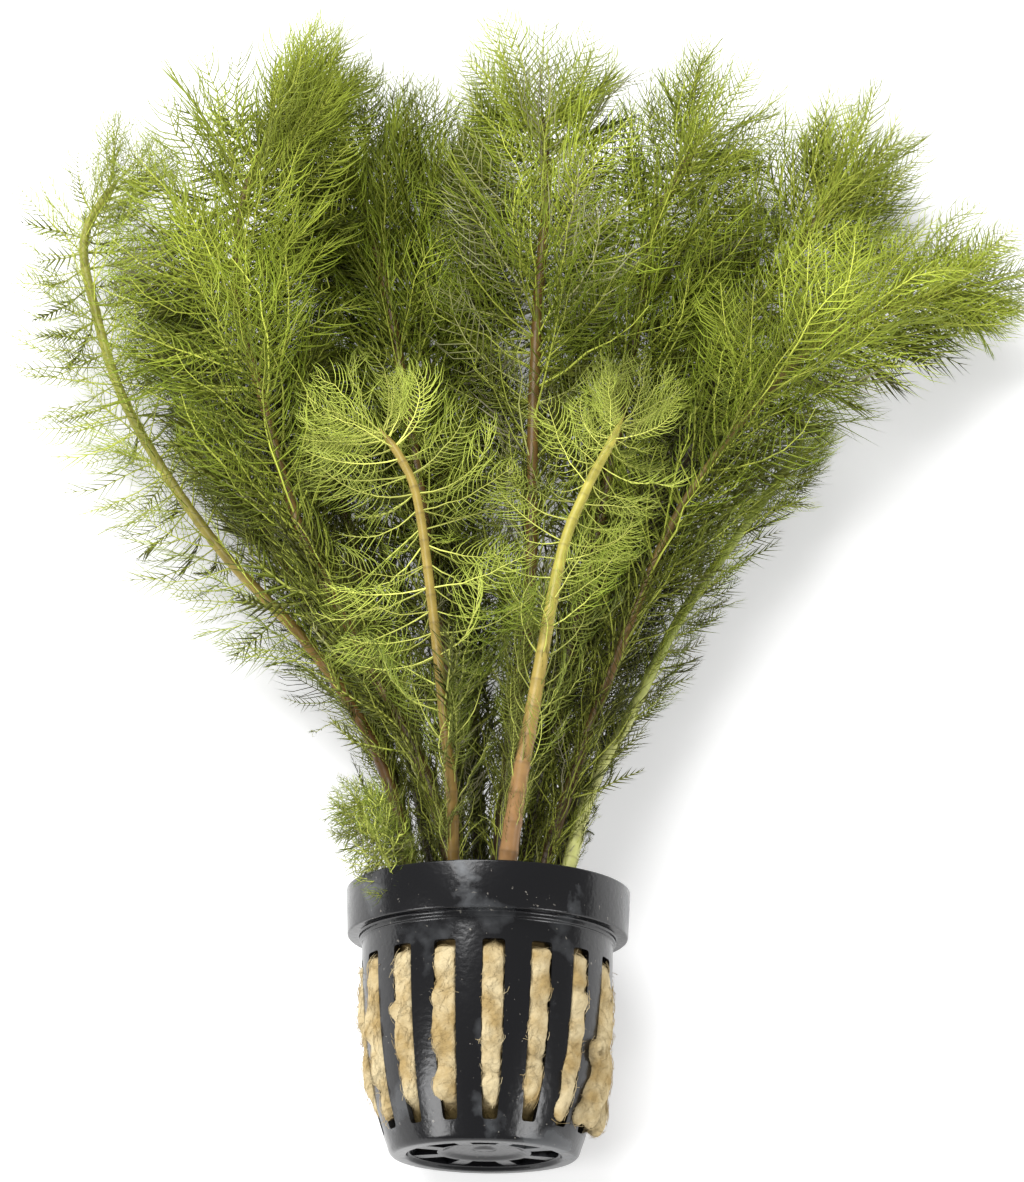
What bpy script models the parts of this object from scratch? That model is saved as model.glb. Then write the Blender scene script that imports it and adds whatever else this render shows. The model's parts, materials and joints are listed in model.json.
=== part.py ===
"""Water milfoil in a five centimetre net pot, lying on its side on a table.

All sizes are in millimetres in the table frame: the foot of the pot's base centre is the origin,
+X runs to the right, +Y along the table from the pot's base to the leaf tips, +Z up.
The last step moves the whole plant so that the middle of its box stands over the world origin.
"""

import math
import random

import bmesh
import bpy
import numpy as np
from mathutils import Matrix, Vector

MM = 0.001
OBJECT_NAME = "myriophyllum_scabratum"
CLEARANCE = 0.35
MERGE = 0.00005

# The pot, measured along its axis from the foot and out from its axis
POT_HEIGHT = 48.0
RIM_RADIUS_TOP = 25.3
RIM_RADIUS_LOW = 25.0
RIM_LOW = 39.5
RIM_WALL = 1.5
WALL = 1.15
FLOOR_THICKNESS = 1.9
FOOT_RING = (13.8, 16.2)
FOOT_RECESS = 0.8
NUB_RADIUS = 1.4
EDGE = 0.35
NECK_STEP = 0.5
NECK_HEIGHT = 1.0
POT_COLOUR = (0.012, 0.012, 0.013)
SHOULDER = 10.0
BODY = ((0.6, 16.8), (SHOULDER, 19.7), (20.0, 21.4), (30.0, 22.2), (38.4, 22.35))
TURN_STEPS = 40

# The slots of the wall and the wedge openings of the foot
SLOT_COUNT = 16
SLOT_START = math.radians(3.0)
SLOT_LOW = 3.5
SLOT_HIGH = 34.6
SLOT_WIDTHS = ((SLOT_LOW, 2.6), (12.0, 3.6), (22.0, 4.0), (SLOT_HIGH, 4.0))
SLOT_CORNER = 0.7
CUT_FROM = 14.0
WEDGE_COUNT = 8
WEDGE_ANGLE = math.radians(32.0)
WEDGE_RADII = (8.3, 13.2)
WEDGE_NARROWING = 0.86

# The rock wool plug
WOOL_LOW = FLOOR_THICKNESS + CLEARANCE
WOOL_HIGH = 37.5
WOOL_SEED = 4
WOOL_COLOUR = (0.62, 0.50, 0.33)
UNDERSIDE = -0.7
PRESSED = 0.4
RIB_HEIGHTS = (4.4, 11.0, 18.0, 26.0, 33.7)
# Lumps pushed out over the bars: turn from the front (degrees), height, half width, half length, proud
LUMP_STEPS = 5
LUMP_NECK = 1.2
LUMP_ROOT = 1.6
LUMPS = (
    (70.5, 15.2, 3.8, 10.8, 4.0),
    (-42.0, 27.0, 2.8, 4.2, 1.9),
    (-19.5, 29.5, 2.7, 3.6, 1.7),
    (-19.5, 9.5, 2.6, 3.0, 1.7),
)

# The shoots
POINTS_AROUND = 8
NOTCH_SHARE = 0.6
LAST_TIER = 0.3
APEX_SHARE = 0.62
NEIGHBOUR_GAP = 1.3
STEM_GAP = 0.9
MOUTH_RADIUS = 21.0
FOLD_SHARE = 0.75
ROOT_DEPTH = 31.0
ROOT_DRAW_IN = 0.86
MOUTH_HEIGHT = 43.0
ROOT_STRAIGHT = 8.0
SHOOT_SEED = 11

# name: place in the mouth (right, up), route points, stem radii low and high, leaf length,
# bare length from the root, tiers of leaves
SHOOTS = {
    "shoot_far_left": dict(
        mouth=(-13, 6.5),
        route=((-19, 70, 27), (-32, 96, 20), (-52, 121, 16), (-69, 149, 14), (-77, 173, 14),
               (-79, 187, 14), (-76, 196, 15)),
        stem=(1.7, 0.8), leaf=21, bare=27, tiers=11, colour=(0.20, 0.27, 0.04)),
    "shoot_left_plume": dict(
        mouth=(-5, 8),
        route=((-12, 67, 35), (-25, 93, 34), (-35.5, 115, 34), (-43, 141, 34), (-48, 162, 34),
               (-51, 184, 34), (-48, 203, 34)),
        stem=(1.8, 0.9), leaf=26, bare=34, tiers=11, colour=(0.18, 0.30, 0.04)),
    "shoot_left_back": dict(
        mouth=(-5.5, 1.5),
        route=((-7, 77, 26), (-12, 115, 22), (-17, 149, 20), (-22, 176, 19), (-29, 200, 19)),
        stem=(1.8, 0.9), leaf=24, bare=34, tiers=9, colour=(0.10, 0.19, 0.03)),
    "shoot_middle_back": dict(
        mouth=(-1, -7),
        route=((-4, 90, 14), (-8.5, 129, 12), (-14, 165, 12), (-15, 185, 12), (-13, 203, 12)),
        stem=(1.5, 0.8), leaf=25, bare=34, tiers=9, colour=(0.11, 0.20, 0.03)),
    "shoot_centre": dict(
        mouth=(1, 6),
        route=((4, 78, 33), (6.5, 102, 33), (6.7, 139, 34), (7.3, 163, 34), (8.5, 184, 35),
               (7.5, 203, 36)),
        stem=(2.0, 1.0), leaf=24, bare=36, tiers=10, colour=(0.14, 0.24, 0.03)),
    "shoot_right_back": dict(
        mouth=(5, 0.5),
        route=((12, 86, 24), (19.5, 124, 22), (25.5, 162, 22), (29, 185, 23), (37, 203, 24)),
        stem=(1.8, 0.9), leaf=25, bare=34, tiers=10, colour=(0.15, 0.26, 0.03)),
    "shoot_right_under": dict(
        mouth=(6, -8),
        route=((12, 92, 11), (23, 130, 10), (38, 160, 10), (53, 181, 12), (65, 201, 13)),
        stem=(1.6, 0.8), leaf=25, bare=32, tiers=10, colour=(0.15, 0.25, 0.03)),
    "shoot_far_right": dict(
        mouth=(7.5, 9),
        route=((17, 74, 33), (25, 98, 33), (35, 123, 33), (52, 149, 31), (63, 161, 27),
               (75, 170, 22), (87, 176, 18)),
        stem=(1.8, 0.8), leaf=21, bare=34, tiers=10, colour=(0.20, 0.30, 0.03)),
    "shoot_right_edge": dict(
        mouth=(12.5, 8.5),
        route=((18, 66, 29), (25, 83, 24), (34, 105, 19), (44, 122, 17), (57, 142, 17)),
        stem=(1.7, 0.9), leaf=12, bare=38, tiers=8, colour=(0.22, 0.33, 0.05)),
    "shoot_dark_right": dict(
        mouth=(11.5, 1.5),
        route=((18, 86, 22), (23, 102, 22), (31, 127, 22), (41, 149, 22)),
        stem=(1.6, 0.8), leaf=16, bare=34, tiers=7, colour=(0.05, 0.06, 0.02)),
    "shoot_front_left": dict(
        mouth=(-6, 14.5),
        route=((-6.6, 56, 46), (-8, 68, 49), (-10, 85, 51), (-14.3, 111, 54), (-16, 118, 54)),
        stem=(1.8, 1.1), leaf=18, bare=26, tiers=7, colour=(0.25, 0.36, 0.05)),
    "shoot_front_right": dict(
        mouth=(2.5, 15.5),
        route=((5, 58, 48), (7, 70, 50), (11.8, 100, 53), (15.2, 112, 54), (20, 124, 54)),
        stem=(2.6, 1.1), leaf=15, bare=36, tiers=7, colour=(0.28, 0.38, 0.06)),
    "shoot_left_under": dict(
        mouth=(-8, -8),
        route=((-15, 80, 18), (-23, 111, 13), (-31, 140, 11), (-38, 161, 11)),
        stem=(1.6, 0.8), leaf=18, bare=32, tiers=7, colour=(0.09, 0.16, 0.03)),
    "shoot_left_low": dict(
        mouth=(-12, -1),
        route=((-20, 79, 21), (-33, 106, 16), (-45, 130, 13), (-57, 158, 12), (-61, 170, 12)),
        stem=(1.6, 0.8), leaf=19, bare=32, tiers=8, colour=(0.12, 0.20, 0.03)),
    "low_tuft": dict(
        mouth=(-12.5, 12),
        route=((-16, 45, 40), (-20, 52, 37), (-23, 60, 35)),
        stem=(1.0, 0.6), leaf=11, bare=16, tiers=4, colour=(0.26, 0.42, 0.05)),
}


def clear_scene():
    """Remove the objects of the scene the script is run in."""
    for obj in list(bpy.data.objects):
        bpy.data.objects.remove(obj, do_unlink=True)


def make_collection(name, parent=None):
    """A new collection in the scene or in another collection."""
    collection = bpy.data.collections.new(name)
    (parent or bpy.context.scene.collection).children.link(collection)
    return collection


def make_material(name, colour, roughness, metallic=0.0):
    """A Principled material with the part's plain colour."""
    material = bpy.data.materials.new(name)
    material.use_nodes = True
    shader = material.node_tree.nodes["Principled BSDF"]
    shader.inputs["Base Color"].default_value = (*colour, 1.0)
    shader.inputs["Roughness"].default_value = roughness
    shader.inputs["Metallic"].default_value = metallic
    material.diffuse_color = (*colour, 1.0)
    return material


def make_object(name, mesh, collection, material=None):
    """An object for a mesh, in a collection, with its material."""
    obj = bpy.data.objects.new(name, mesh)
    collection.objects.link(obj)
    if material:
        mesh.materials.append(material)
    return obj


def make_cutter(name, mesh, collection):
    """A helper that shapes another object and isn't part of the plant."""
    obj = make_object(name, mesh, collection)
    obj.hide_render = True
    obj.display_type = "WIRE"
    return obj


def add_boolean(obj, other, operation):
    """An exact Boolean of one object with another."""
    modifier = obj.modifiers.new(other.name, "BOOLEAN")
    modifier.operation = operation
    modifier.solver = "EXACT"
    modifier.object = other


def add_boolean_group(obj, group, operation):
    """An exact Boolean of one object with every mesh of a collection."""
    modifier = obj.modifiers.new(group.name, "BOOLEAN")
    modifier.operation = operation
    modifier.solver = "EXACT"
    modifier.operand_type = "COLLECTION"
    modifier.collection = group


def loft_mesh(name, rings):
    """A closed mesh through rings of equally many points, capped at both ends, in metres."""
    shape = bmesh.new()
    rows = [[shape.verts.new(Vector(point) * MM) for point in ring] for ring in rings]
    count = len(rows[0])
    for low, high in zip(rows, rows[1:]):
        for here in range(count):
            after = (here + 1) % count
            shape.faces.new((low[here], low[after], high[after], high[here]))
    shape.faces.new(rows[0][::-1])
    shape.faces.new(rows[-1])
    bmesh.ops.recalc_face_normals(shape, faces=shape.faces)
    mesh = bpy.data.meshes.new(name)
    shape.to_mesh(mesh)
    shape.free()
    return mesh


def prism_mesh(name, outline, push):
    """A flat outline pushed along one direction, in metres."""
    shape = bmesh.new()
    face = shape.faces.new([shape.verts.new(Vector(point) * MM) for point in outline])
    pushed = bmesh.ops.extrude_face_region(shape, geom=[face])["geom"]
    moved = [item for item in pushed if isinstance(item, bmesh.types.BMVert)]
    bmesh.ops.translate(shape, verts=moved, vec=Vector(push) * MM)
    bmesh.ops.recalc_face_normals(shape, faces=shape.faces)
    mesh = bpy.data.meshes.new(name)
    shape.to_mesh(mesh)
    shape.free()
    return mesh


# The pot's place: on its side, resting on its shoulder and on the lower edge of its rim

def body_radius(height):
    """Outer radius of the pot's wall at a height along its axis."""
    heights, radii = zip(*BODY)
    return float(np.interp(height, heights, radii))


POT_TILT = math.atan2(RIM_RADIUS_LOW - body_radius(SHOULDER), RIM_LOW - SHOULDER)
POT_CENTRE_HEIGHT = body_radius(SHOULDER) * math.cos(POT_TILT) - SHOULDER * math.sin(POT_TILT)
POT_AXIS = np.array((0.0, math.cos(POT_TILT), math.sin(POT_TILT)))
POT_UP = np.array((0.0, -math.sin(POT_TILT), math.cos(POT_TILT)))
POT_BASE = np.array((0.0, 0.0, POT_CENTRE_HEIGHT))
POT_PLACE = Matrix.Translation((0, 0, POT_CENTRE_HEIGHT * MM)) @ Matrix.Rotation(
    POT_TILT - math.pi / 2, 4, "X")


def pot_point(right, up, height):
    """A point of the table frame from its place in the pot."""
    return POT_BASE + right * np.array((1.0, 0.0, 0.0)) + up * POT_UP + height * POT_AXIS


def pot_radial(turn, out, across, height):
    """A point in the pot's own frame, where the front is -Y and the turn runs towards +X."""
    return (out * math.sin(turn) + across * math.cos(turn),
            -out * math.cos(turn) + across * math.sin(turn), height)


def pot_section():
    """Half section of the pot: from the middle of its floor up the inside, over the rim and down
    the outside to the middle of its foot."""
    inner_rim = RIM_RADIUS_LOW - RIM_WALL
    section = [(0.0, FLOOR_THICKNESS), (body_radius(FLOOR_THICKNESS) - WALL, FLOOR_THICKNESS)]
    section += [(radius - WALL, height) for height, radius in BODY[1:]]
    section += [(inner_rim, RIM_LOW + WALL), (inner_rim + EDGE, POT_HEIGHT)]
    section += [(RIM_RADIUS_TOP - EDGE, POT_HEIGHT), (RIM_RADIUS_TOP, POT_HEIGHT - EDGE)]
    neck = body_radius(RIM_LOW) + NECK_STEP
    section += [(RIM_RADIUS_LOW, RIM_LOW), (neck, RIM_LOW), (neck, RIM_LOW - NECK_HEIGHT)]
    section += [(radius, height) for height, radius in reversed(BODY)]
    section += [(FOOT_RING[1], 0.0), (FOOT_RING[0], 0.0), (FOOT_RING[0] - EDGE, FOOT_RECESS)]
    section += [(NUB_RADIUS, FOOT_RECESS), (NUB_RADIUS, FOOT_RECESS / 2), (0.0, FOOT_RECESS / 2)]
    return section


def slot_half_width(height):
    """Half the width of a wall slot at a height."""
    heights, widths = zip(*SLOT_WIDTHS)
    return float(np.interp(height, heights, widths)) / 2


def slot_cutters(collection):
    """One tapered, round-cornered prism for each slot of the wall."""
    straight = [height for height, _ in SLOT_WIDTHS[1:-1]]
    heights = (SLOT_LOW + SLOT_CORNER, *straight, SLOT_HIGH - SLOT_CORNER)
    side = [(slot_half_width(SLOT_LOW) - SLOT_CORNER, SLOT_LOW)]
    side += [(slot_half_width(height), height) for height in heights]
    side += [(slot_half_width(SLOT_HIGH) - SLOT_CORNER, SLOT_HIGH)]
    for index in range(SLOT_COUNT):
        turn = SLOT_START + index * 2 * math.pi / SLOT_COUNT
        outline = [pot_radial(turn, CUT_FROM, across, height) for across, height in side]
        outline += [pot_radial(turn, CUT_FROM, -across, height) for across, height in reversed(side)]
        push = pot_radial(turn, CUT_FROM, 0.0, 0.0)
        cutter = make_cutter(f"slot_cutter_{index + 1}", prism_mesh("slot", outline, push), collection)
        cutter.matrix_world = POT_PLACE


def wedge_cutters(collection):
    """One ring sector for each opening of the foot."""
    for index in range(WEDGE_COUNT):
        middle = index * 2 * math.pi / WEDGE_COUNT
        outer = [middle + WEDGE_ANGLE * (step / 4 - 0.5) for step in range(5)]
        inner = [middle + WEDGE_ANGLE * WEDGE_NARROWING * (0.5 - step / 2) for step in range(3)]
        outline = [pot_radial(turn, WEDGE_RADII[1], 0, -1.0) for turn in outer]
        outline += [pot_radial(turn, WEDGE_RADII[0], 0, -1.0) for turn in inner]
        mesh = prism_mesh("wedge", outline, (0, 0, FLOOR_THICKNESS + 2.0))
        make_cutter(f"wedge_cutter_{index + 1}", mesh, collection).matrix_world = POT_PLACE


def make_pot(collection, cutters):
    """The net pot: a turned wall and foot with its slots and wedge openings cut through."""
    shape = bmesh.new()
    points = [shape.verts.new((radius * MM, 0, height * MM)) for radius, height in pot_section()]
    for one, other in zip(points, points[1:]):
        shape.edges.new((one, other))
    mesh = bpy.data.meshes.new("pot")
    shape.to_mesh(mesh)
    shape.free()
    pot = make_object("pot", mesh, collection, make_material("pot_plastic", POT_COLOUR, 0.28))
    turn = pot.modifiers.new("turn", "SCREW")
    turn.steps = TURN_STEPS
    turn.render_steps = TURN_STEPS
    turn.use_merge_vertices = True
    turn.merge_threshold = MERGE
    turn.use_smooth_shade = False
    pot.matrix_world = POT_PLACE
    openings = make_collection("pot_openings", cutters)
    slot_cutters(openings)
    wedge_cutters(openings)
    add_boolean_group(pot, openings, "DIFFERENCE")
    return pot


# The rock wool

def wool_ring(height, proud):
    """One ring of the plug: four points for each slot, its middle pushed out where proud is given."""
    half = slot_half_width(height) - CLEARANCE
    inner = body_radius(height) - WALL - CLEARANCE
    ring = []
    for index in range(SLOT_COUNT):
        turn = SLOT_START + index * 2 * math.pi / SLOT_COUNT
        level = math.sqrt(inner ** 2 - half ** 2)
        out = level if proud is None else body_radius(height) + proud[index]
        if proud and math.cos(turn) < UNDERSIDE:
            out = body_radius(height) - PRESSED
        ring.append(pot_radial(turn, level, -half, height))
        ring.append(pot_radial(turn, out, -half * 0.8, height))
        ring.append(pot_radial(turn, out, half * 0.8, height))
        ring.append(pot_radial(turn, level, half, height))
    return ring


def wool_plug():
    """The plug: plain below and above the slots, with an uneven rib in each slot."""
    chance = random.Random(WOOL_SEED)
    rings = [wool_ring(WOOL_LOW, None), wool_ring(SLOT_LOW + CLEARANCE, None)]
    for height in RIB_HEIGHTS:
        at_end = height in (RIB_HEIGHTS[0], RIB_HEIGHTS[-1])
        proud = [chance.uniform(-0.7, 0.0) if at_end else chance.uniform(0.1, 0.8)
                 for _ in range(SLOT_COUNT)]
        rings.append(wool_ring(height, proud))
    rings.append(wool_ring(SLOT_HIGH - CLEARANCE, None))
    rings.append(wool_ring(WOOL_HIGH - 1.0, None))
    rings.append([(x * 0.93, y * 0.93, WOOL_HIGH) for x, y, _ in wool_ring(WOOL_HIGH - 1.0, None)])
    return loft_mesh("rock_wool", rings)


def wool_lump(turn, height, half_width, half_length, proud):
    """A lump of wool that came out through a slot and lies over the bars beside it."""
    rings = []
    for step in range(LUMP_STEPS + 1):
        along = math.pi * step / LUMP_STEPS
        swell = max(math.sin(along), 0.25)
        level = height + half_length * math.cos(along)
        lying = body_radius(level) + CLEARANCE + 0.1
        width = half_width * swell
        neck = min(LUMP_NECK, width * 0.5, slot_half_width(level) - CLEARANCE)
        section = []
        for part in range(6):
            angle = math.pi * (part / 5 - 0.5)
            across = width * math.sin(angle)
            surface = math.sqrt(lying ** 2 - across ** 2)
            section.append((surface + proud * swell * math.cos(angle), across))
        section += [(lying, neck), (lying - LUMP_ROOT, neck), (lying - LUMP_ROOT, -neck), (lying, -neck)]
        rings.append([pot_radial(math.radians(turn), out, across, level) for out, across in section])
    return loft_mesh("lump", rings)


def make_rock_wool(collection, cutters, sockets):
    """The wool plug with its lumps joined on and a socket for every stem."""
    material = make_material("wool_fibre", WOOL_COLOUR, 0.95)
    wool = make_object("rock_wool", wool_plug(), collection, material)
    wool.matrix_world = POT_PLACE
    for index, lump in enumerate(LUMPS):
        piece = make_cutter(f"wool_lump_{index + 1}", wool_lump(*lump), cutters)
        piece.matrix_world = POT_PLACE
        add_boolean(wool, piece, "UNION")
    add_boolean_group(wool, sockets, "DIFFERENCE")
    return wool


# The shoots

def smooth_route(points, step=2.0):
    """Points about a step apart along a smooth curve through the chosen ones."""
    points = [np.array(point, float) for point in points]
    ends = [2 * points[0] - points[1], *points, 2 * points[-1] - points[-2]]
    fine = []
    for a, b, c, d in zip(ends, ends[1:], ends[2:], ends[3:]):
        for t in np.linspace(0, 1, 12, endpoint=False):
            cubic = (3 * b - a - 3 * c + d) * t ** 3
            fine.append(0.5 * (2 * b + (c - a) * t + (2 * a - 5 * b + 4 * c - d) * t ** 2 + cubic))
    fine = np.array([*fine, points[-1]])
    travel = np.concatenate([[0], np.cumsum(np.linalg.norm(np.diff(fine, axis=0), axis=1))])
    along = np.linspace(0, travel[-1], int(travel[-1] / step) + 1)
    return along, np.column_stack([np.interp(along, travel, fine[:, axis]) for axis in range(3)])


class Shoot:
    """A stem's centre line with the directions across it, and the leaf tiers that it carries."""

    def __init__(self, name, values):
        self.name = name
        self.values = values
        right, up = values["mouth"]
        root = pot_point(right * ROOT_DRAW_IN, up * ROOT_DRAW_IN, ROOT_DEPTH)
        mouth = pot_point(right, up, MOUTH_HEIGHT)
        self.along, self.path = smooth_route([root, (root + mouth) / 2, mouth, *values["route"]])
        self.length = self.along[-1]
        tangents = np.gradient(self.path, axis=0)
        self.tangents = tangents / np.linalg.norm(tangents, axis=1)[:, None]
        side = np.cross(self.tangents[0], (0.0, 0.0, 1.0))
        sides = []
        for tangent in self.tangents:
            side = side - tangent * np.dot(side, tangent)
            side = side / np.linalg.norm(side)
            sides.append(side)
        self.sides = np.array(sides)
        self.ups = np.cross(self.sides, self.tangents)
        self.reach = None

    def stem_radius(self, travel):
        """Stem radius at a distance from the root."""
        low, high = self.values["stem"]
        return low + (high - low) * min(travel / self.length, 1.0)

    def read(self, values, travel):
        """A value along the stem, read at any distance."""
        return np.array([np.interp(travel, self.along, values[:, axis]) for axis in range(3)])

    def centre(self, travel):
        """A point on the centre line, carried straight on past the tip."""
        past = max(travel - self.length, 0.0)
        return self.read(self.path, travel) + past * self.tangents[-1]

    def across(self, travel, turn):
        """A direction across the stem."""
        return math.cos(turn) * self.read(self.sides, travel) + math.sin(turn) * self.read(self.ups, travel)

    def place(self, travel, radius, turn):
        """A point beside the stem."""
        return self.centre(travel) + radius * self.across(travel, turn)


def tier_rings(shoot, chance):
    """Rings as lists of (distance along, radius, turn): the bare stem, the tiers, the closing bud."""
    bare, tiers = shoot.values["bare"], shoot.values["tiers"]
    leaf = shoot.values["leaf"]
    turns = [2 * math.pi * part / POINTS_AROUND for part in range(POINTS_AROUND)]
    rings = []
    for travel in (0.0, ROOT_STRAIGHT, bare * 0.55, bare * 0.85):
        rings.append([(travel, shoot.stem_radius(travel), turn) for turn in turns])
    pitch = (shoot.length - bare) / (tiers - 1 + LAST_TIER)
    reach = []
    for tier in range(tiers):
        share = tier / (tiers - 1)
        start = bare + tier * pitch
        growth = min(0.6 + 1.4 * share, 1.0) * (1.0 - 0.2 * max(share - 0.8, 0) / 0.2)
        sweep = math.radians(34 + 20 * min(share / 0.4, 1.0) - 14 * max(share - 0.8, 0) / 0.2)
        twist = chance.uniform(-0.12, 0.12)
        axil = shoot.stem_radius(start) + 0.5
        rings.append([(start, axil, turn + twist) for turn in turns])
        ring = []
        for part, turn in enumerate(turns):
            length = leaf * growth * chance.uniform(0.88, 1.08)
            if (part + tier) % 2:
                length *= NOTCH_SHARE
            ahead, out = length * math.cos(sweep), length * math.sin(sweep)
            ring.append((start + ahead, max(out, axil), turn + twist))
        rings.append(ring)
        reach.append((start + leaf * growth * math.cos(sweep), leaf * growth * math.sin(sweep)))
    end = shoot.length + leaf * APEX_SHARE
    rings.append([(end, 0.7, turn) for turn in turns])
    shoot.reach = np.interp(shoot.along, [bare * 0.85, bare, *[place for place, _ in reach]],
                            [shoot.stem_radius(0), reach[0][1] * 0.5, *[out for _, out in reach]])
    return rings


def nearness(point, shoot):
    """How far a point is outside the reach of a shoot's leaves, and outside its stem."""
    distance = np.linalg.norm(shoot.path - point, axis=1)
    return (distance - shoot.reach).min(), distance.min() - shoot.stem_radius(0)


def has_room(point, radius, own, others):
    """Whether a leaf point stays in the space of its own shoot."""
    in_pot = point - POT_BASE
    height = float(in_pot @ POT_AXIS)
    if height < POT_HEIGHT + STEM_GAP and np.linalg.norm(in_pot - height * POT_AXIS) > MOUTH_RADIUS:
        return False
    distance = np.linalg.norm(own.path - point, axis=1)
    if distance.min() < FOLD_SHARE * radius:
        return False
    mine = (distance - own.reach).min()
    for other in others:
        leaves, stem = nearness(point, other)
        if leaves - mine < NEIGHBOUR_GAP or stem < STEM_GAP:
            return False
    return True


def settle(shoot, others, rings):
    """The rings as points, drawn in where a neighbour is and laid flat where the table is."""
    settled = []
    for ring in rings:
        row = []
        for travel, radius, turn in ring:
            least = shoot.stem_radius(travel)
            for share in np.linspace(1.0, 0.0, 25):
                drawn = least + (radius - least) * share
                point = shoot.place(travel, drawn, turn)
                if has_room(point, drawn, shoot, others):
                    break
            row.append((point[0], point[1], max(point[2], 0.0)))
        settled.append(row)
    return settled


def make_socket(shoot, collection):
    """The hole that a stem stands in, a little wider than the stem."""
    root = shoot.centre(0.0)
    rise = shoot.centre(ROOT_STRAIGHT) - root
    low = root - rise * CLEARANCE / ROOT_STRAIGHT
    high = root + rise
    radius = shoot.stem_radius(0) + CLEARANCE
    rings = []
    for centre in (low, high):
        rings.append([centre + radius * shoot.across(0, 2 * math.pi * part / POINTS_AROUND)
                      for part in range(POINTS_AROUND)])
    make_cutter(f"{shoot.name}_socket", loft_mesh("socket", rings), collection)


def make_shoots(collection, sockets):
    """Every shoot as one solid: its stem with its tiers of leaves."""
    shoots = [Shoot(name, values) for name, values in SHOOTS.items()]
    chance = random.Random(SHOOT_SEED)
    rings = [tier_rings(shoot, chance) for shoot in shoots]
    made = []
    for index, shoot in enumerate(shoots):
        others = shoots[:index] + shoots[index + 1:]
        mesh = loft_mesh(shoot.name, settle(shoot, others, rings[index]))
        material = make_material(f"{shoot.name}_leaves", shoot.values["colour"], 0.5)
        made.append(make_object(shoot.name, mesh, collection, material))
        make_socket(shoot, sockets)
    return made


def centre_on_origin(objects):
    """Carry the whole plant on an empty so that the middle of its box stands over the origin."""
    bpy.context.view_layer.update()
    graph = bpy.context.evaluated_depsgraph_get()
    points = []
    for obj in objects:
        evaluated = obj.evaluated_get(graph)
        points += [obj.matrix_world @ vertex.co for vertex in evaluated.to_mesh().vertices]
        evaluated.to_mesh_clear()
    middle = [(min(point[axis] for point in points) + max(point[axis] for point in points)) / 2
              for axis in range(2)]
    carrier = bpy.data.objects.new("plant", None)
    bpy.context.scene.collection.objects.link(carrier)
    for obj in bpy.data.objects:
        if obj.type == "MESH":
            obj.parent = carrier
    carrier.location = (-middle[0], -middle[1], 0)
    bpy.context.view_layer.update()


def main():
    clear_scene()
    collection = make_collection(OBJECT_NAME)
    cutters = make_collection("cutters")
    sockets = make_collection("stem_sockets", cutters)
    pot = make_pot(collection, cutters)
    shoots = make_shoots(collection, sockets)
    wool = make_rock_wool(collection, cutters, sockets)
    centre_on_origin([pot, wool, *shoots])


main()
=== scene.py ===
"""Water milfoil in a five centimetre net pot, lying on its side: the finished look.

Lengths in the tables below are millimetres in the table frame: the foot of the pot's base centre
is the origin, +X runs to the right, +Y along the table towards the leaf tips, +Z up.
"""

import json
import math
import random

import bmesh
import bpy
import numpy as np
from mathutils import Matrix, Vector, noise

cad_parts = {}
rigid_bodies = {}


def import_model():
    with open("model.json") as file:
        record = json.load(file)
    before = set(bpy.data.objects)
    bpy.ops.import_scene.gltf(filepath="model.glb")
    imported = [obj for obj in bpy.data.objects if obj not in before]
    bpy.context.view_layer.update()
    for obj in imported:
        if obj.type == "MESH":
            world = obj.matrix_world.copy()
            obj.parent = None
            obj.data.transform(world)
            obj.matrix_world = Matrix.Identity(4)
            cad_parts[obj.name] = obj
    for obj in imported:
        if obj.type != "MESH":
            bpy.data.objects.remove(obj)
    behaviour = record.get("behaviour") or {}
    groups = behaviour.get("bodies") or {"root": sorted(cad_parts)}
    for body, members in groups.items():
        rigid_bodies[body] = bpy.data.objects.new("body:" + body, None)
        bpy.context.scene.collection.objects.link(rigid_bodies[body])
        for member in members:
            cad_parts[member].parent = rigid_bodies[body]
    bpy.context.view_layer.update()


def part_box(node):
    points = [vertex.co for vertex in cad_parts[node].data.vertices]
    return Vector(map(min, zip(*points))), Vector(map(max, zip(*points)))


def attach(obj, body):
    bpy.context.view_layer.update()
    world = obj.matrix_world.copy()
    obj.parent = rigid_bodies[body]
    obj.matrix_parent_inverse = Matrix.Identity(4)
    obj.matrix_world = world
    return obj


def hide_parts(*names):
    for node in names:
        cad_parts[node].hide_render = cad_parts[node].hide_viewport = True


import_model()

bl_info = {
    "name": "Water milfoil in a net pot",
    "version": (1, 0, 0),
    "blender": (4, 5, 0),
    "location": "3D View > Sidebar > Milfoil",
    "description": "Dresses a potted water milfoil: net pot, rock wool, stems and feather leaves",
    "category": "Object",
}

MM = 0.001
BODY_NAME = "root"

# The pot, measured along its axis from the foot and out from its axis
POT_HEIGHT = 48.0
RIM_RADIUS_TOP = 25.3
RIM_RADIUS_LOW = 25.0
RIM_LOW = 39.5
RIM_WALL = 1.5
WALL = 1.15
FLOOR_THICKNESS = 1.9
FOOT_RING = (13.8, 16.2)
FOOT_RECESS = 0.8
EDGE = 0.35
NECK_STEP = 0.5
NECK_HEIGHT = 1.0
SHOULDER = 10.0
WALL_RADII = ((0.6, 16.8), (SHOULDER, 19.7), (20.0, 21.4), (30.0, 22.2), (38.4, 22.35))

# The slots of the wall and the wedge openings of the foot
SLOT_COUNT = 16
SLOT_START = math.radians(3.0)
SLOT_LOW = 3.5
SLOT_HIGH = 34.6
SLOT_WIDTHS = ((SLOT_LOW, 2.6), (12.0, 3.6), (22.0, 4.0), (SLOT_HIGH, 4.0))
WEDGE_COUNT = 8
WEDGE_ANGLE = math.radians(32.0)
WEDGE_RADII = (8.3, 13.2)
SLOT_CORNER = 0.7
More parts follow.
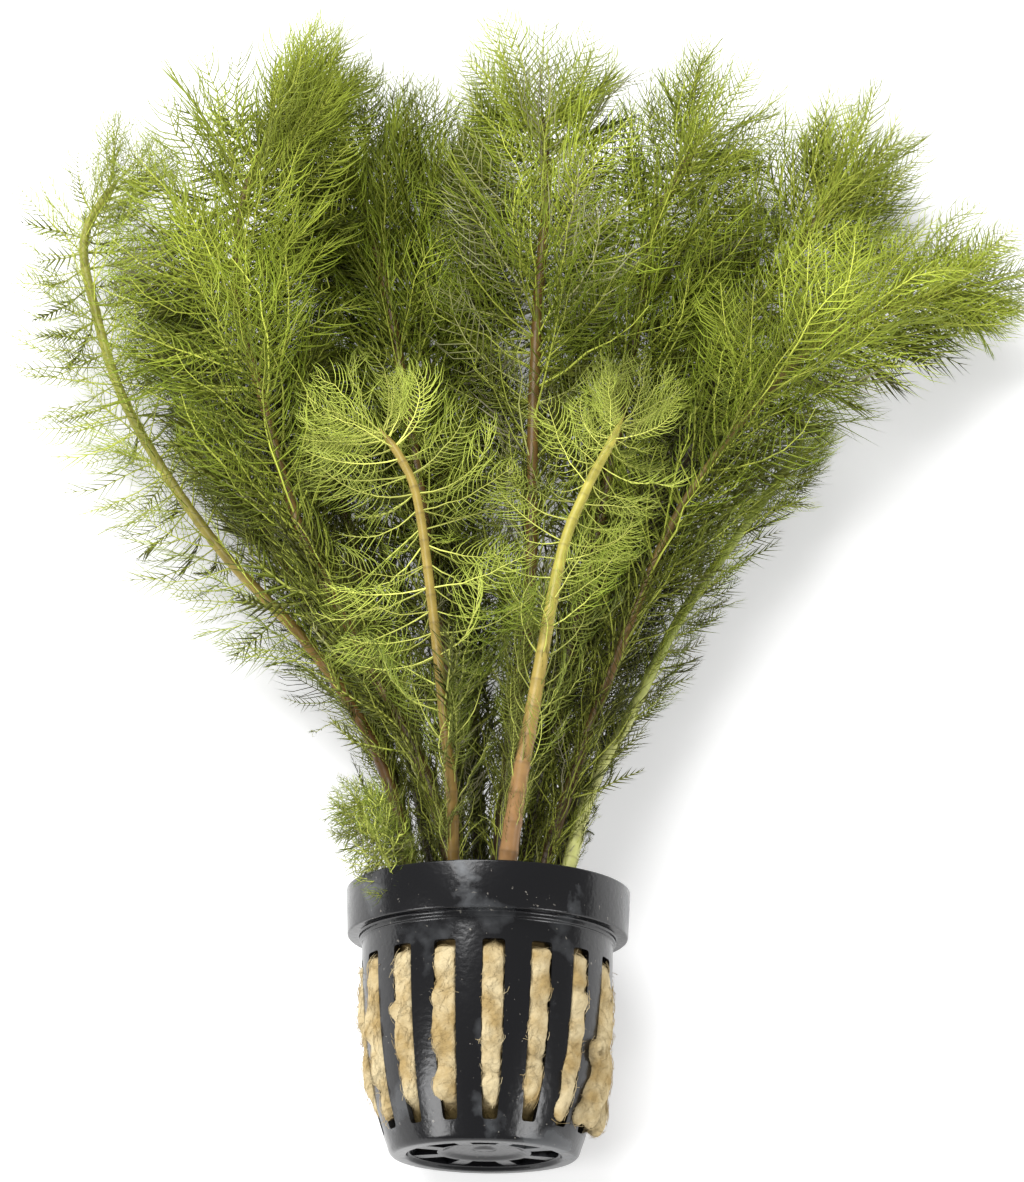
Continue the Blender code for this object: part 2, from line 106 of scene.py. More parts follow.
# The share of its angle that a wedge spans at its inner side, and how far from the axis a slot's
# cutter starts
WEDGE_NARROWING = 0.86
CUT_FROM = 14.0
# The dished middle of the foot: radius and height
DISH = ((8.0, 0.8), (7.4, 0.9), (6.2, 1.35), (2.2, 1.5), (1.5, 1.2), (0.0, 1.15))

# The rock wool: plug, ribs in the slots, and lumps that came out of a slot
WOOL_LOW = 2.3
WOOL_HIGH = 37.5
RIB_GAP = 0.12
# Creases across a rib: the slot's turn from the front (degrees) and the height
CREASES = ((-19.5, 13.6), (25.5, 24.0), (25.5, 14.5), (48.0, 27.3), (-64.5, 26.5), (3.0, 11.0))
# Turn from the front (degrees), place across, height, half width, half length, how far it stands out
LUMPS = (
    (-19.5, -1.2, 24.6, 1.4, 2.2, 1.0), (-19.5, -1.0, 19.5, 1.6, 5.5, 0.9),
    (-19.5, -0.8, 9.6, 1.9, 3.0, 1.4), (-42.0, -1.9, 23.0, 1.2, 1.5, 1.1),
    (-42.0, -0.8, 19.0, 1.6, 5.0, 0.9), (-42.0, -0.2, 12.0, 1.4, 5.0, 0.6),
    (-64.5, -0.7, 29.8, 1.3, 2.6, 0.8), (-64.5, -1.5, 22.0, 1.6, 4.0, 1.3),
    (-64.5, -1.0, 15.5, 1.6, 5.0, 1.1), (-64.5, -0.3, 8.5, 1.3, 4.0, 0.8),
    (-87.0, 0.0, 26.0, 1.5, 5.0, 0.9), (-87.0, 0.2, 15.5, 1.5, 6.0, 1.1),
    (3.0, 0.1, 29.0, 1.9, 5.5, 0.35), (3.0, 0.5, 8.0, 0.9, 2.4, 0.1), (25.5, 0.1, 28.8, 1.9, 4.4, 0.6),
    (25.5, -0.5, 19.3, 1.7, 4.8, 0.7), (25.5, -0.4, 10.5, 1.5, 4.0, 0.7),
    (48.0, 0.1, 22.0, 1.7, 5.2, 0.9), (48.0, -0.6, 13.5, 1.7, 6.0, 1.1),
    (48.0, -0.9, 7.0, 1.5, 3.0, 0.9), (112.0, 0.0, 20.0, 1.5, 6.0, 0.8),
)
# The flap that hangs out at the right, in the same terms, and the curl on its edge
FLAP = (
    (70.5, 0.0, 28.5, 1.5, 4.6, 1.1), (70.5, 0.5, 22.5, 2.5, 6.5, 1.7), (71.5, 1.0, 15.5, 3.4, 7.5, 2.3),
    (69.5, -0.2, 9.0, 2.9, 5.0, 2.4), (81.0, 1.6, 8.0, 2.6, 4.4, 2.6), (66.0, -1.4, 6.4, 1.6, 2.0, 1.5),
)
CURL_PLACE = (63.5, 0.0, 17.4)
CURL_RADIUS = 1.15
CURL_BEADS = 10

# Where a stem stands in the rock wool
ROOT_DEPTH = 31.0
ROOT_DRAW_IN = 0.86
MOUTH_HEIGHT = 43.0

# What holds for a shoot unless its own plan says otherwise. stem: its radius at the foot and at the
# tip; foot: how bright its foot is; bare: where its leaves begin. old: up to which share of it the
# leaves are old. sparse, curly and arched: how common such leaves are; dusted and hidden: the share
# of dry and of coarser leaves. over: leaves added on top near its tip. clear: the stretch of it that
# shows between its leaves, seen from open_side (radians). near: with the finest leaves. swept: which
# way its crown is drawn. slot: the record's slot.
USUAL_SHOOT = dict(
    stem=(1.6, 0.8), foot=0.3, bare=16, old=0.4, sparse=0.04, curly=0.0, arched=0.0, dusted=0.0, hidden=0.0,
    over=0, clear=(0.0, 0.0), open_side=math.pi / 2, near=False, swept=(0.0, 0.0, 0.0), slot="leaves_fresh")

# Each shoot: its place in the pot's mouth (right, up), the route that it lies along, the colour of its
# stem low and high, the length of its leaves, how far they stand off on the left and on the right
# (degrees) and how young they are, a low value also darkening shoots that lie behind and underneath
# as painted shade. Some say how far apart their whorls are, how many rougher leaves lie under each
# and how many old threads are at the foot.
SHOOTS = {
    "far_left": dict(
        mouth=(-13, 6.5),
        route=((-19, 70, 27), (-32, 96, 20), (-52, 121, 16), (-69, 149, 14), (-77, 173, 14),
               (-79, 187, 14), (-73, 199, 15)),
        stem=(1.35, 0.85), low=(0.30, 0.15, 0.04), high=(0.33, 0.32, 0.06), bare=15, leaf=16.5,
        spread=(70, 50), youth=1.25, old=0.5, spacing=5.0, under=1, threads=36, swept=(0.25, 0.0, 0.0),
        sparse=0.8),
    "left_plume": dict(
        mouth=(-5, 8),
        route=((-12, 67, 35), (-25, 93, 34), (-35.5, 115, 34), (-43, 141, 34), (-48, 162, 34),
               (-48, 184, 35), (-41, 202, 35)),
        stem=(1.4, 0.7), low=(0.22, 0.12, 0.035), high=(0.20, 0.13, 0.035), leaf=26, spread=(80, 46),
        youth=0.95, old=0.82, spacing=4.3, under=4, over=2, clear=(0.6, 0.9), swept=(0.7, 0.15, 0.0),
        near=True),
    "left_back": dict(
        mouth=(-5.5, 1.5),
        route=((-7, 77, 26), (-12, 115, 22), (-17, 149, 20), (-22, 176, 19), (-29, 200, 19)),
        stem=(1.7, 0.9), low=(0.10, 0.055, 0.02), high=(0.12, 0.07, 0.02), leaf=25, spread=(46, 52),
        youth=0.66, old=0.8, over=1, clear=(0.5, 0.85), hidden=0.5, slot="leaves_deep"),
    "middle_back": dict(
        mouth=(-1, -7),
        route=((-4, 90, 14), (-8.5, 129, 12), (-14, 165, 12), (-15, 185, 12), (-13, 203, 12)),
        stem=(1.5, 0.8), low=(0.10, 0.06, 0.02), high=(0.17, 0.11, 0.03), leaf=26, spread=(56, 56),
        youth=0.75, old=0.9, over=1, hidden=0.75, slot="leaves_deep"),
    "centre": dict(
        mouth=(1, 6),
        route=((4, 78, 33), (6.5, 102, 33), (6.7, 139, 34), (7.3, 163, 34), (8.5, 184, 35),
               (7.5, 203, 36)),
        stem=(1.5, 0.9), low=(0.12, 0.065, 0.02), high=(0.14, 0.08, 0.02), leaf=24, spread=(60, 62),
        youth=0.78, old=0.9, spacing=4.4, over=1, clear=(0.4, 0.72), dusted=0.22),
    "right_back": dict(
        mouth=(5, 0.5),
        route=((12, 86, 24), (19.5, 124, 22), (25.5, 162, 22), (29, 185, 23), (37, 203, 24)),
        stem=(1.7, 0.9), low=(0.10, 0.06, 0.02), high=(0.14, 0.09, 0.025), leaf=25, spread=(60, 56),
        youth=0.68, old=0.85, over=1, clear=(0.8, 0.93), hidden=0.35),
    "right_under": dict(
        mouth=(6, -8), route=((12, 92, 11), (23, 130, 10), (38, 160, 10), (53, 181, 12), (65, 201, 13)),
        low=(0.14, 0.08, 0.025), high=(0.20, 0.15, 0.04), leaf=26, spread=(56, 50), youth=0.78,
        old=0.85, over=1, hidden=0.7),
    "far_right": dict(
        mouth=(7.5, 9),
        route=((17, 74, 33), (25, 98, 33), (35, 123, 33), (52, 149, 31), (63, 161, 27), (75, 170, 22),
               (87, 176, 18)),
        stem=(1.4, 0.5), low=(0.20, 0.11, 0.035), high=(0.25, 0.19, 0.05), leaf=22.5, spread=(56, 36),
        youth=0.9, old=0.75, over=1),
    "right_edge": dict(
        mouth=(12.5, 8.5),
        route=((18, 66, 29), (25, 83, 24), (34, 105, 19), (44, 122, 17), (57, 142, 17)),
        low=(0.55, 0.56, 0.20), high=(0.40, 0.46, 0.10), foot=1.0, leaf=12, spread=(28, 16), youth=0.85,
        old=0.6, clear=(0.0, 0.85), open_side=0.3),
    "dark_right": dict(
        mouth=(11.5, 1.5), route=((18, 86, 22), (23, 102, 22), (31, 127, 22), (41, 149, 22)),
        low=(0.06, 0.04, 0.02), high=(0.05, 0.035, 0.02), leaf=16, spread=(28, 28), youth=0.4,
        hidden=0.4, dusted=0.15, slot="leaves_dark"),
    "front_left": dict(
        mouth=(-6, 14.5),
        route=((-6.6, 56, 46), (-8, 68, 49), (-10, 85, 51), (-13.6, 110, 54), (-17, 119, 55),
               (-21, 125, 55)),
        stem=(1.3, 0.75), low=(0.18, 0.11, 0.025), high=(0.34, 0.25, 0.055), foot=0.9, bare=19, leaf=18,
        spread=(86, 78), youth=0.95, old=0.5, spacing=5.2, under=0, clear=(0.0, 0.93), near=True,
        arched=3.0, slot="leaves_bright"),
    "front_right": dict(
        mouth=(2.5, 15.5),
        route=((5, 58, 48), (7, 70, 50), (11.8, 100, 53), (16.0, 113, 54), (20.5, 123, 54),
               (23, 129, 54)),
        stem=(2.2, 0.75), low=(0.32, 0.175, 0.07), high=(0.50, 0.44, 0.085), foot=1.0, bare=20, leaf=15,
        spread=(70, 72), youth=0.95, old=0.7, spacing=5.2, under=0, clear=(0.0, 0.93), near=True,
        arched=3.0, slot="leaves_bright"),
    "left_under": dict(
        mouth=(-8, -8), route=((-15, 80, 18), (-23, 111, 13), (-31, 140, 11), (-38, 161, 11)),
        low=(0.10, 0.06, 0.02), high=(0.14, 0.09, 0.03), leaf=19, spread=(30, 42), youth=0.3, old=1.0,
        hidden=0.9, slot="leaves_deep"),
    "left_low": dict(
        mouth=(-12, -1),
        route=((-20, 79, 21), (-33, 106, 16), (-45, 130, 13), (-57, 158, 12), (-61, 170, 12)),
        low=(0.12, 0.07, 0.02), high=(0.16, 0.11, 0.03), leaf=19, spread=(20, 38), youth=0.35, old=1.0,
        threads=34, hidden=0.6, dusted=0.15, slot="leaves_deep"),
    "low_tuft": dict(
        mouth=(-12.5, 12), route=((-16.5, 44, 41), (-20.5, 53, 38), (-23.5, 60, 36)),
        stem=(0.5, 0.3), low=(0.16, 0.14, 0.03), high=(0.30, 0.34, 0.06), bare=13, leaf=8,
        spread=(75, 85), youth=0.3, old=0.1, spacing=1.2, under=3, curly=6.0, slot="leaves_bright"),
}

# Points of a stem from node to node, and how far it swells there
STEM_STEPS = 14
NODE_SWELL = 0.08
# Share of the leaves left out where a stem shows between them, and how squarely they face that side
CLEARED = 0.85
CLEARED_FACING = 0.7
# How fast a stem narrows: under 1 it narrows most near its foot
STEM_TAPER = 0.6

# The camera, in the table frame: it looks down at the plant from the pot's end
CAMERA_TARGET = (3.33, 109.96, 20.0)
CAMERA_DISTANCE = 1103.4
CAMERA_ELEVATION = math.radians(64.0)
CAMERA_ROLL = math.radians(0.92)
PICTURE_HEIGHT = 1182
FOCAL_PIXELS = 6000.0
SENSOR = 36.0


# Places


def wall_radius(height):
    """Outer radius of the pot's wall at a height along its axis."""
    heights, radii = zip(*WALL_RADII)
    return np.interp(height, heights, radii)


POT_TILT = math.atan2(RIM_RADIUS_LOW - wall_radius(SHOULDER), RIM_LOW - SHOULDER)
POT_BASE_HEIGHT = wall_radius(SHOULDER) * math.cos(POT_TILT) - SHOULDER * math.sin(POT_TILT)
POT_AXIS = np.array((0.0, math.cos(POT_TILT), math.sin(POT_TILT)))
POT_UP = np.array((0.0, -math.sin(POT_TILT), math.cos(POT_TILT)))
POT_BASE = np.array((0.0, 0.0, POT_BASE_HEIGHT))


def table_shift():
    """How far the table frame's origin lies from the row frame's, read from the pot's box."""
    low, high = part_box("pot")
    end = POT_HEIGHT * math.cos(POT_TILT) + (RIM_RADIUS_TOP - EDGE) * math.sin(POT_TILT)
    return np.array(((low.x + high.x) / 2 / MM, high.y / MM - end, 0.0))


TABLE_SHIFT = table_shift()


def world(points):
    """Points of the table frame in the row frame, in metres."""
    return (np.asarray(points, float) + TABLE_SHIFT) * MM


def pot_place():
    """The matrix that lays the upright pot, in metres, where it lies on the table."""
    base = Vector(world(POT_BASE))
    return Matrix.Translation(base) @ Matrix.Rotation(POT_TILT - math.pi / 2, 4, "X")


def pot_point(right, up, height):
    """A point of the table frame from its place in the pot."""
    return POT_BASE + right * np.array((1.0, 0.0, 0.0)) + up * POT_UP + height * POT_AXIS


def ease(value, low, high):
    """A smooth step from 0 at low to 1 at high."""
    share = np.clip((value - low) / (high - low), 0, 1)
    return share * share * (3 - 2 * share)


def unit(vector):
    return vector / np.linalg.norm(vector)


# Node trees and finished meshes


class Graph:
    """A node tree being built: each call adds nodes with their settings and their inputs."""

    def __init__(self, tree):
        self.tree = tree

    def feed(self, node, inputs):
        """Sets a node's inputs, to a value or from another node."""
        for key, value in inputs.items():
            if isinstance(value, bpy.types.NodeSocket):
                self.tree.links.new(value, node.inputs[key])
            else:
                node.inputs[key].default_value = value
        return node

    def add(self, kind, inputs=None, **settings):
        node = self.tree.nodes.new(kind)
        for name, value in settings.items():
            setattr(node, name, value)
        return self.feed(node, inputs or {})

    def out(self, kind, inputs=None, **settings):
        """The first output in use of a new node."""
        node = self.add(kind, inputs, **settings)
        return next(socket for socket in node.outputs if socket.enabled)

    def maths(self, operation, *values):
        return self.out("ShaderNodeMath", dict(enumerate(values)), operation=operation)

    def times(self, *values):
        """The product of two or more values."""
        product = values[0]
        for value in values[1:]:
            product = self.maths("MULTIPLY", product, value)
        return product

    def times_plus(self, value, factor, more):
        return self.maths("MULTIPLY_ADD", value, factor, more)

    def vector(self, x, y, z):
        return self.out("ShaderNodeCombineXYZ", {0: x, 1: y, 2: z})

    def noise(self, place, scale, detail):
        return self.out("ShaderNodeTexNoise", {"Vector": place, "Scale": scale, "Detail": detail})

    def random(self, low, high, seed):
        """A random number, or a random vector, between two others."""
        whole = isinstance(low, tuple)
        first = 0 if whole else 2
        return self.out("FunctionNodeRandomValue", {first: low, first + 1: high, "Seed": seed},
                        data_type="FLOAT_VECTOR" if whole else "FLOAT")

    def named(self, name, kind="FLOAT"):
        return self.out("GeometryNodeInputNamedAttribute", {"Name": name}, data_type=kind)

    def store(self, geometry, name, value, kind="FLOAT"):
        inputs = {"Geometry": geometry, "Name": name, "Value": value}
        return self.out("GeometryNodeStoreNamedAttribute", inputs, data_type=kind)

    def place(self):
        """The place of each point, as its three values."""
        return self.add("ShaderNodeSeparateXYZ", {0: self.out("GeometryNodeInputPosition")}).outputs

    def move(self, geometry, **where):
        """Geometry with its points at a Position, or moved by an Offset."""
        return self.out("GeometryNodeSetPosition", {"Geometry": geometry, **where})

    def line(self, count, **ends):
        """A straight line of so many points, up from the origin unless its ends are given."""
        line = self.out("GeometryNodeCurvePrimitiveLine", ends)
        return self.out("GeometryNodeResampleCurve", {"Curve": line, "Count": count})

    def tube(self, line, sides, radius):
        """A closed tube along a line."""
        ring = self.out("GeometryNodeCurvePrimitiveCircle", {"Resolution": sides, "Radius": 1.0})
        return self.out("GeometryNodeCurveToMesh", {0: line, 1: ring, 2: radius, 3: True})

    def facing(self, one, other, first="X", second="Z"):
        """The turn that lays the first axis along one direction and the second towards the other."""
        return self.out("FunctionNodeAxesToRotation", {0: one, 1: other},
                        primary_axis=first, secondary_axis=second)

    def copies(self, points, shape, turn, **more):
        inputs = {"Points": points, "Instance": shape, "Rotation": turn, **more}
        return self.out("GeometryNodeInstanceOnPoints", inputs)

    def join(self, *parts):
        node = self.add("GeometryNodeJoinGeometry")
        for part in reversed(parts):
            self.tree.links.new(part, node.inputs[0])
        return node.outputs[0]

    def finish(self, geometry, material=None):
        """Ends the tree: instances made real, shaded smooth, with its material set."""
        real = self.out("GeometryNodeRealizeInstances", {"Geometry": geometry})
        smooth = self.out("GeometryNodeSetShadeSmooth", {"Geometry": real})
        if material is not None:
            smooth = self.out("GeometryNodeSetMaterial", {"Geometry": smooth, "Material": material})
        return smooth


def new_tree(name, inputs):
    """A geometry tree with named inputs, and the sockets that they arrive at."""
    tree = bpy.data.node_groups.new(name, "GeometryNodeTree")
    tree.is_modifier = True
    tree.interface.new_socket("Geometry", in_out="INPUT", socket_type="NodeSocketGeometry")
    for label, (kind, value) in inputs.items():
        socket = tree.interface.new_socket(label, in_out="INPUT", socket_type="NodeSocket" + kind)
        if value is not None:
            socket.default_value = value
    tree.interface.new_socket("Geometry", in_out="OUTPUT", socket_type="NodeSocketGeometry")
    graph = Graph(tree)
    return graph, graph.add("NodeGroupInput").outputs


def end_tree(graph, geometry):
    graph.add("NodeGroupOutput", {0: geometry})
    return graph.tree


def plain_mesh(obj):
    """The mesh of an object with its modifiers applied. The object itself goes."""
    bpy.context.scene.collection.objects.link(obj)
    depsgraph = bpy.context.evaluated_depsgraph_get()
    mesh = bpy.data.meshes.new_from_object(obj.evaluated_get(depsgraph), depsgraph=depsgraph)
    bpy.data.objects.remove(obj)
    return mesh


def body_mesh(name, shape):
    """A mesh from a bmesh, which it frees."""
    mesh = bpy.data.meshes.new(name)
    shape.to_mesh(mesh)
    shape.free()
    return mesh


def shaped(name, mesh, tree, values):
    """The mesh that a tree gives for these inputs, as a plain object at the origin."""
    source = bpy.data.objects.new(name + "_source", mesh)
    modifier = source.modifiers.new(tree.name, "NODES")
    modifier.node_group = tree
    for item in tree.interface.items_tree:
        if item.in_out == "INPUT" and item.name in values:
            modifier[item.identifier] = values[item.name]
    made = plain_mesh(source)
    made.name = name
    obj = bpy.data.objects.new(name, made)
    bpy.context.scene.collection.objects.link(obj)
    return obj


def points_mesh(name, points, edges=()):
    mesh = bpy.data.meshes.new(name)
    mesh.from_pydata([tuple(point) for point in points], [tuple(edge) for edge in edges], [])
    return mesh


def store_values(mesh, name, kind, values):
    """One attribute of a mesh's points."""
    attribute = mesh.attributes.new(name, kind, "POINT")
    field = {"FLOAT_VECTOR": "vector", "FLOAT_COLOR": "color"}.get(kind, "value")
    attribute.data.foreach_set(field, np.asarray(values).ravel())


# Materials


def new_material(name):
    """A material with a Principled shader, and the graph of its tree."""
    material = bpy.data.materials.new(name)
    material.use_nodes = True
    graph = Graph(material.node_tree)
    shader = material.node_tree.nodes["Principled BSDF"]
    return material, graph, shader


def colour(values):
    return (*values, 1.0)


def mix_colours(graph, share, one, other, blend="MIX"):
    """A mix of two colours, each given as three values or as an output."""
    one, other = (tint if isinstance(tint, bpy.types.NodeSocket) else colour(tint) for tint in (one, other))
    node = graph.add("ShaderNodeMix", {0: share, 6: one, 7: other}, data_type="RGBA", blend_type=blend)
    return node.outputs[2]


def shaded(graph, tint, light):
    """A colour made lighter or darker by a value."""
    grey = graph.out("ShaderNodeCombineColor", {0: light, 1: light, 2: light})
    return mix_colours(graph, 1.0, tint, grey, "MULTIPLY")


def read_attribute(graph, name, output="Fac"):
    return graph.add("ShaderNodeAttribute", attribute_name=name).outputs[output]


def on_object(graph):
    """The place on the object, which patterns are laid on."""
    return graph.add("ShaderNodeTexCoord").outputs["Object"]


def finish(graph, shader, tint, roughness, specular, relief=None):
    """Feeds the shader. The relief is its height, strength and depth."""
    graph.feed(shader, {"Base Color": tint, "Roughness": roughness, "Specular IOR Level": specular})
    if relief:
        height, strength, depth = relief
        bump = graph.add("ShaderNodeBump", {"Strength": strength, "Distance": depth, "Height": height})
        graph.feed(shader, {"Normal": bump.outputs[0]})


# The leaves of each slot: old, young, and the colour of their veins. The near-black old colour is partly
# the dark of old leaves and partly painted shade in the bunch; the deep and dark slots, for shoots that lie
# behind and underneath, are darker as painted shade, the dark one partly also decaying leaves.
LEAF_COLOURS = {
    "leaves_fresh": ((0.017, 0.017, 0.003), (0.185, 0.285, 0.008), (0.58, 0.63, 0.10)),
    "leaves_bright": ((0.028, 0.042, 0.003), (0.25, 0.38, 0.016), (0.74, 0.77, 0.18)),
    "leaves_deep": ((0.015, 0.015, 0.003), (0.165, 0.25, 0.008), (0.36, 0.39, 0.06)),
    "leaves_dark": ((0.010, 0.011, 0.004), (0.05, 0.06, 0.012), (0.07, 0.06, 0.02)),
}
# Pale colour of dried leaves, which among the old leaves also stands in for painted glints
DRY_AND_GLINT_LEAF = (0.36, 0.33, 0.22)
LEAF_SCAR = (0.08, 0.05, 0.02)
# Grey of the dried film, also used as painted highlight on the rim
WATER_STAIN_AND_HIGHLIGHT = (0.19, 0.20, 0.21)
SPECK = (0.30, 0.28, 0.24)
WOOL_BEIGE = ((0.42, 0.30, 0.13), (0.63, 0.52, 0.31))
# Painted shade: wool that lies deep behind the wall, and the slots' sunk ends, which are partly wet as well
WOOL_RECESS_SHADE = (0.20, 0.12, 0.045)
WOOL_DAMP_AND_SHADE = (0.07, 0.05, 0.018)


def leaf_material(name, old, young, vein):
    """Feather leaf: older leaves darker with duller veins, the newest paler, a few dried. Its young colour
    also holds painted light and shade, paler where leaves face up and in the crown, darker for leaves
    underneath, and some dried leaves are painted glints.
    """
    material, graph, shader = new_material(name)
    youth = read_attribute(graph, "youth")
    blade = mix_colours(graph, youth, old, young)
    newest = graph.out("ShaderNodeMapRange", {0: youth, 1: 0.7, 2: 1.0, 3: 0.0, 4: 0.35})
    blade = mix_colours(graph, newest, blade, vein)
    veins = graph.times(read_attribute(graph, "vein"), graph.times_plus(youth, 0.55, 0.45))
    veined = mix_colours(graph, veins, blade, vein)
    patches = graph.times_plus(graph.noise(on_object(graph), 55.0, 0.0), 0.8, 0.6)
    light = graph.times(graph.times_plus(read_attribute(graph, "tone"), 0.9, 0.55), patches)
    dried = mix_colours(graph, read_attribute(graph, "dry"), shaded(graph, veined, light), DRY_AND_GLINT_LEAF)
    finish(graph, shader, dried, 0.4, 0.18)
    return material


def stem_material(name):
    """Stem: its own colour along it, dark leaf scars at the nodes, fine streaks."""
    material, graph, shader = new_material(name)
    blotches = graph.noise(on_object(graph), 420.0, 4.0)
    worn = shaded(graph, read_attribute(graph, "bark", "Color"), graph.times_plus(blotches, 0.9, 0.55))
    scars = graph.times(read_attribute(graph, "scar"), graph.times(blotches, 0.75))
    scarred = mix_colours(graph, scars, worn, LEAF_SCAR)
    finish(graph, shader, scarred, 0.38, 0.3, (blotches, 0.25, 0.0002))
    return material


def plastic_material(name, base):
    """Glossy black moulded plastic with dried grey water stains, which on the rim are also painted
    highlights, fine pits and light specks.
    """
    material, graph, shader = new_material(name)
    place = on_object(graph)
    wide = graph.noise(place, 85.0, 6.0)
    # The film's grey is partly dried stains and partly painted highlight on the rim
    strength = read_attribute(graph, "film")
    stain_and_highlight = graph.out("ShaderNodeMapRange", {0: graph.times_plus(strength, 0.2, wide), 1: 0.62, 2: 0.7})
    film = graph.times(stain_and_highlight, strength)
    dust = graph.noise(place, 1300.0, 2.0)
    speck = graph.times(graph.maths("GREATER_THAN", dust, 0.72), graph.maths("GREATER_THAN", wide, 0.44))
    filmed_and_highlighted = mix_colours(graph, graph.times(film, 0.8), base, WATER_STAIN_AND_HIGHLIGHT)
    tint = mix_colours(graph, graph.times(speck, 0.5), filmed_and_highlighted, SPECK)
    pits = graph.noise(place, 900.0, 3.0)
    finish(graph, shader, tint, graph.times_plus(film, 0.3, 0.2), 0.4, (pits, 0.35, 0.00015))
    return material


def wool_material(name):
    """Beige mineral wool: streaked, browner where it lies deep as painted shade, olive and near black at
    the slots' sunk ends, partly wet and partly painted shade.
    """
    material, graph, shader = new_material(name)
    place = on_object(graph)
    share = graph.out("ShaderNodeMapRange", {0: graph.noise(place, 210.0, 6.0), 1: 0.36, 2: 0.62})
    soft = mix_colours(graph, share, *WOOL_BEIGE)
    # Painted shade where the wool lies deep, and at the slots' sunk ends painted shade with wet wool
    deep = mix_colours(graph, read_attribute(graph, "depth"), soft, WOOL_RECESS_SHADE)
    damp = mix_colours(graph, read_attribute(graph, "damp"), deep, WOOL_DAMP_AND_SHADE)
    finish(graph, shader, damp, 0.95, 0.15, (graph.noise(place, 1500.0, 4.0), 0.8, 0.0005))
    return material


# The net pot


def rounded(points, reach, steps=4):
    """An open outline with its inner corners turned into small arcs."""
    points = [np.array(point, float) for point in points]
    outline = [points[0]]
    for before, corner, after in zip(points, points[1:], points[2:]):
        one, other = before - corner, after - corner
        start = corner + one * min(reach / np.linalg.norm(one), 0.45)
        end = corner + other * min(reach / np.linalg.norm(other), 0.45)
        for t in np.linspace(0, 1, steps):
            outline.append((1 - t) ** 2 * start + 2 * t * (1 - t) * corner + t ** 2 * end)
    return [*outline, points[-1]]


def pot_section():
    """Half section of the pot (radius, height), from its floor up the inside and down the outside."""
    wall = smooth_route([(radius, height, 0.0) for height, radius in WALL_RADII], 1.5)[1][:, :2]
    inner_rim = RIM_RADIUS_LOW - RIM_WALL
    inside = [(0.0, FLOOR_THICKNESS), (wall_radius(FLOOR_THICKNESS) - WALL, FLOOR_THICKNESS)]
    inside += [(radius - WALL, height) for radius, height in wall if height > SLOT_LOW]
    inside += [(inner_rim, RIM_LOW + WALL), (inner_rim + EDGE, POT_HEIGHT)]
    neck = wall_radius(RIM_LOW) + NECK_STEP
    outside = [(RIM_RADIUS_TOP, POT_HEIGHT), (RIM_RADIUS_LOW, RIM_LOW), (neck, RIM_LOW)]
    outside += [(neck, RIM_LOW - NECK_HEIGHT)] + [tuple(point) for point in wall[::-1]]
    foot = [(FOOT_RING[1], 0.0), (FOOT_RING[0], 0.0), (FOOT_RING[0] - EDGE, FOOT_RECESS), *DISH]
    return rounded([*inside, *outside, *foot], EDGE)


def pot_radial(turn, out, across, height):
    """A point in the pot's own frame, where the front is -Y and the turn runs towards +X."""
    return (out * math.sin(turn) + across * math.cos(turn),
            -out * math.cos(turn) + across * math.sin(turn), height)


def slot_half_width(height):
    heights, widths = zip(*SLOT_WIDTHS)
    return np.interp(height, heights, widths) / 2


def add_loft(shape, rings):
    """A closed body through rings of equally many points, in millimetres, added to a bmesh."""
    rows = [[shape.verts.new(Vector(point) * MM) for point in ring] for ring in rings]
    made = [shape.faces.new(rows[0][::-1]), shape.faces.new(rows[-1])]
    for low, high in zip(rows, rows[1:]):
        for here in range(len(low)):
            after = (here + 1) % len(low)
            made.append(shape.faces.new((low[here], low[after], high[after], high[here])))
    bmesh.ops.recalc_face_normals(shape, faces=made)


def cutter_mesh(name, low, high):
    """A cutter between two equal outlines."""
    shape = bmesh.new()
    add_loft(shape, [low, high])
    return bpy.data.objects.new(name, body_mesh(name, shape))


def slot_cutter():
    """A tapered prism with round corners, for the slot at the front."""
    heights = [height for height, _ in SLOT_WIDTHS]
    side = [(slot_half_width(height), height) for height in heights]
    half = rounded([(0.0, SLOT_LOW), *side, (0.0, SLOT_HIGH)], SLOT_CORNER, 5)
    outline = [*half, *[(-across, height) for across, height in half[-2:0:-1]]]
    ends = [[pot_radial(0.0, out, across, height) for across, height in outline]
            for out in (CUT_FROM, 2 * CUT_FROM)]
    return cutter_mesh("slot_cutter", *ends)


def wedge_cutter():
    """A ring sector with round corners, for the opening at the foot's front."""
    turns = np.linspace(-0.5, 0.5, 9) * WEDGE_ANGLE
    outer = [(WEDGE_RADII[1] * math.sin(turn), -WEDGE_RADII[1] * math.cos(turn)) for turn in turns]
    inner = [(WEDGE_RADII[0] * math.sin(turn), -WEDGE_RADII[0] * math.cos(turn))
             for turn in turns[::-1] * WEDGE_NARROWING]
    ends = [[(*point, height) for point in outer + inner] for height in (-1.0, FLOOR_THICKNESS + 1.0)]
    return cutter_mesh("wedge_cutter", *ends)


OPENINGS_INPUTS = {
    "Slot cutter": ("Object", None),
    "Slots": ("Int", SLOT_COUNT),
    "Slot start": ("Float", SLOT_START),
    "Wedge cutter": ("Object", None),
    "Wedges": ("Int", WEDGE_COUNT),
    "Plastic": ("Material", None),
}


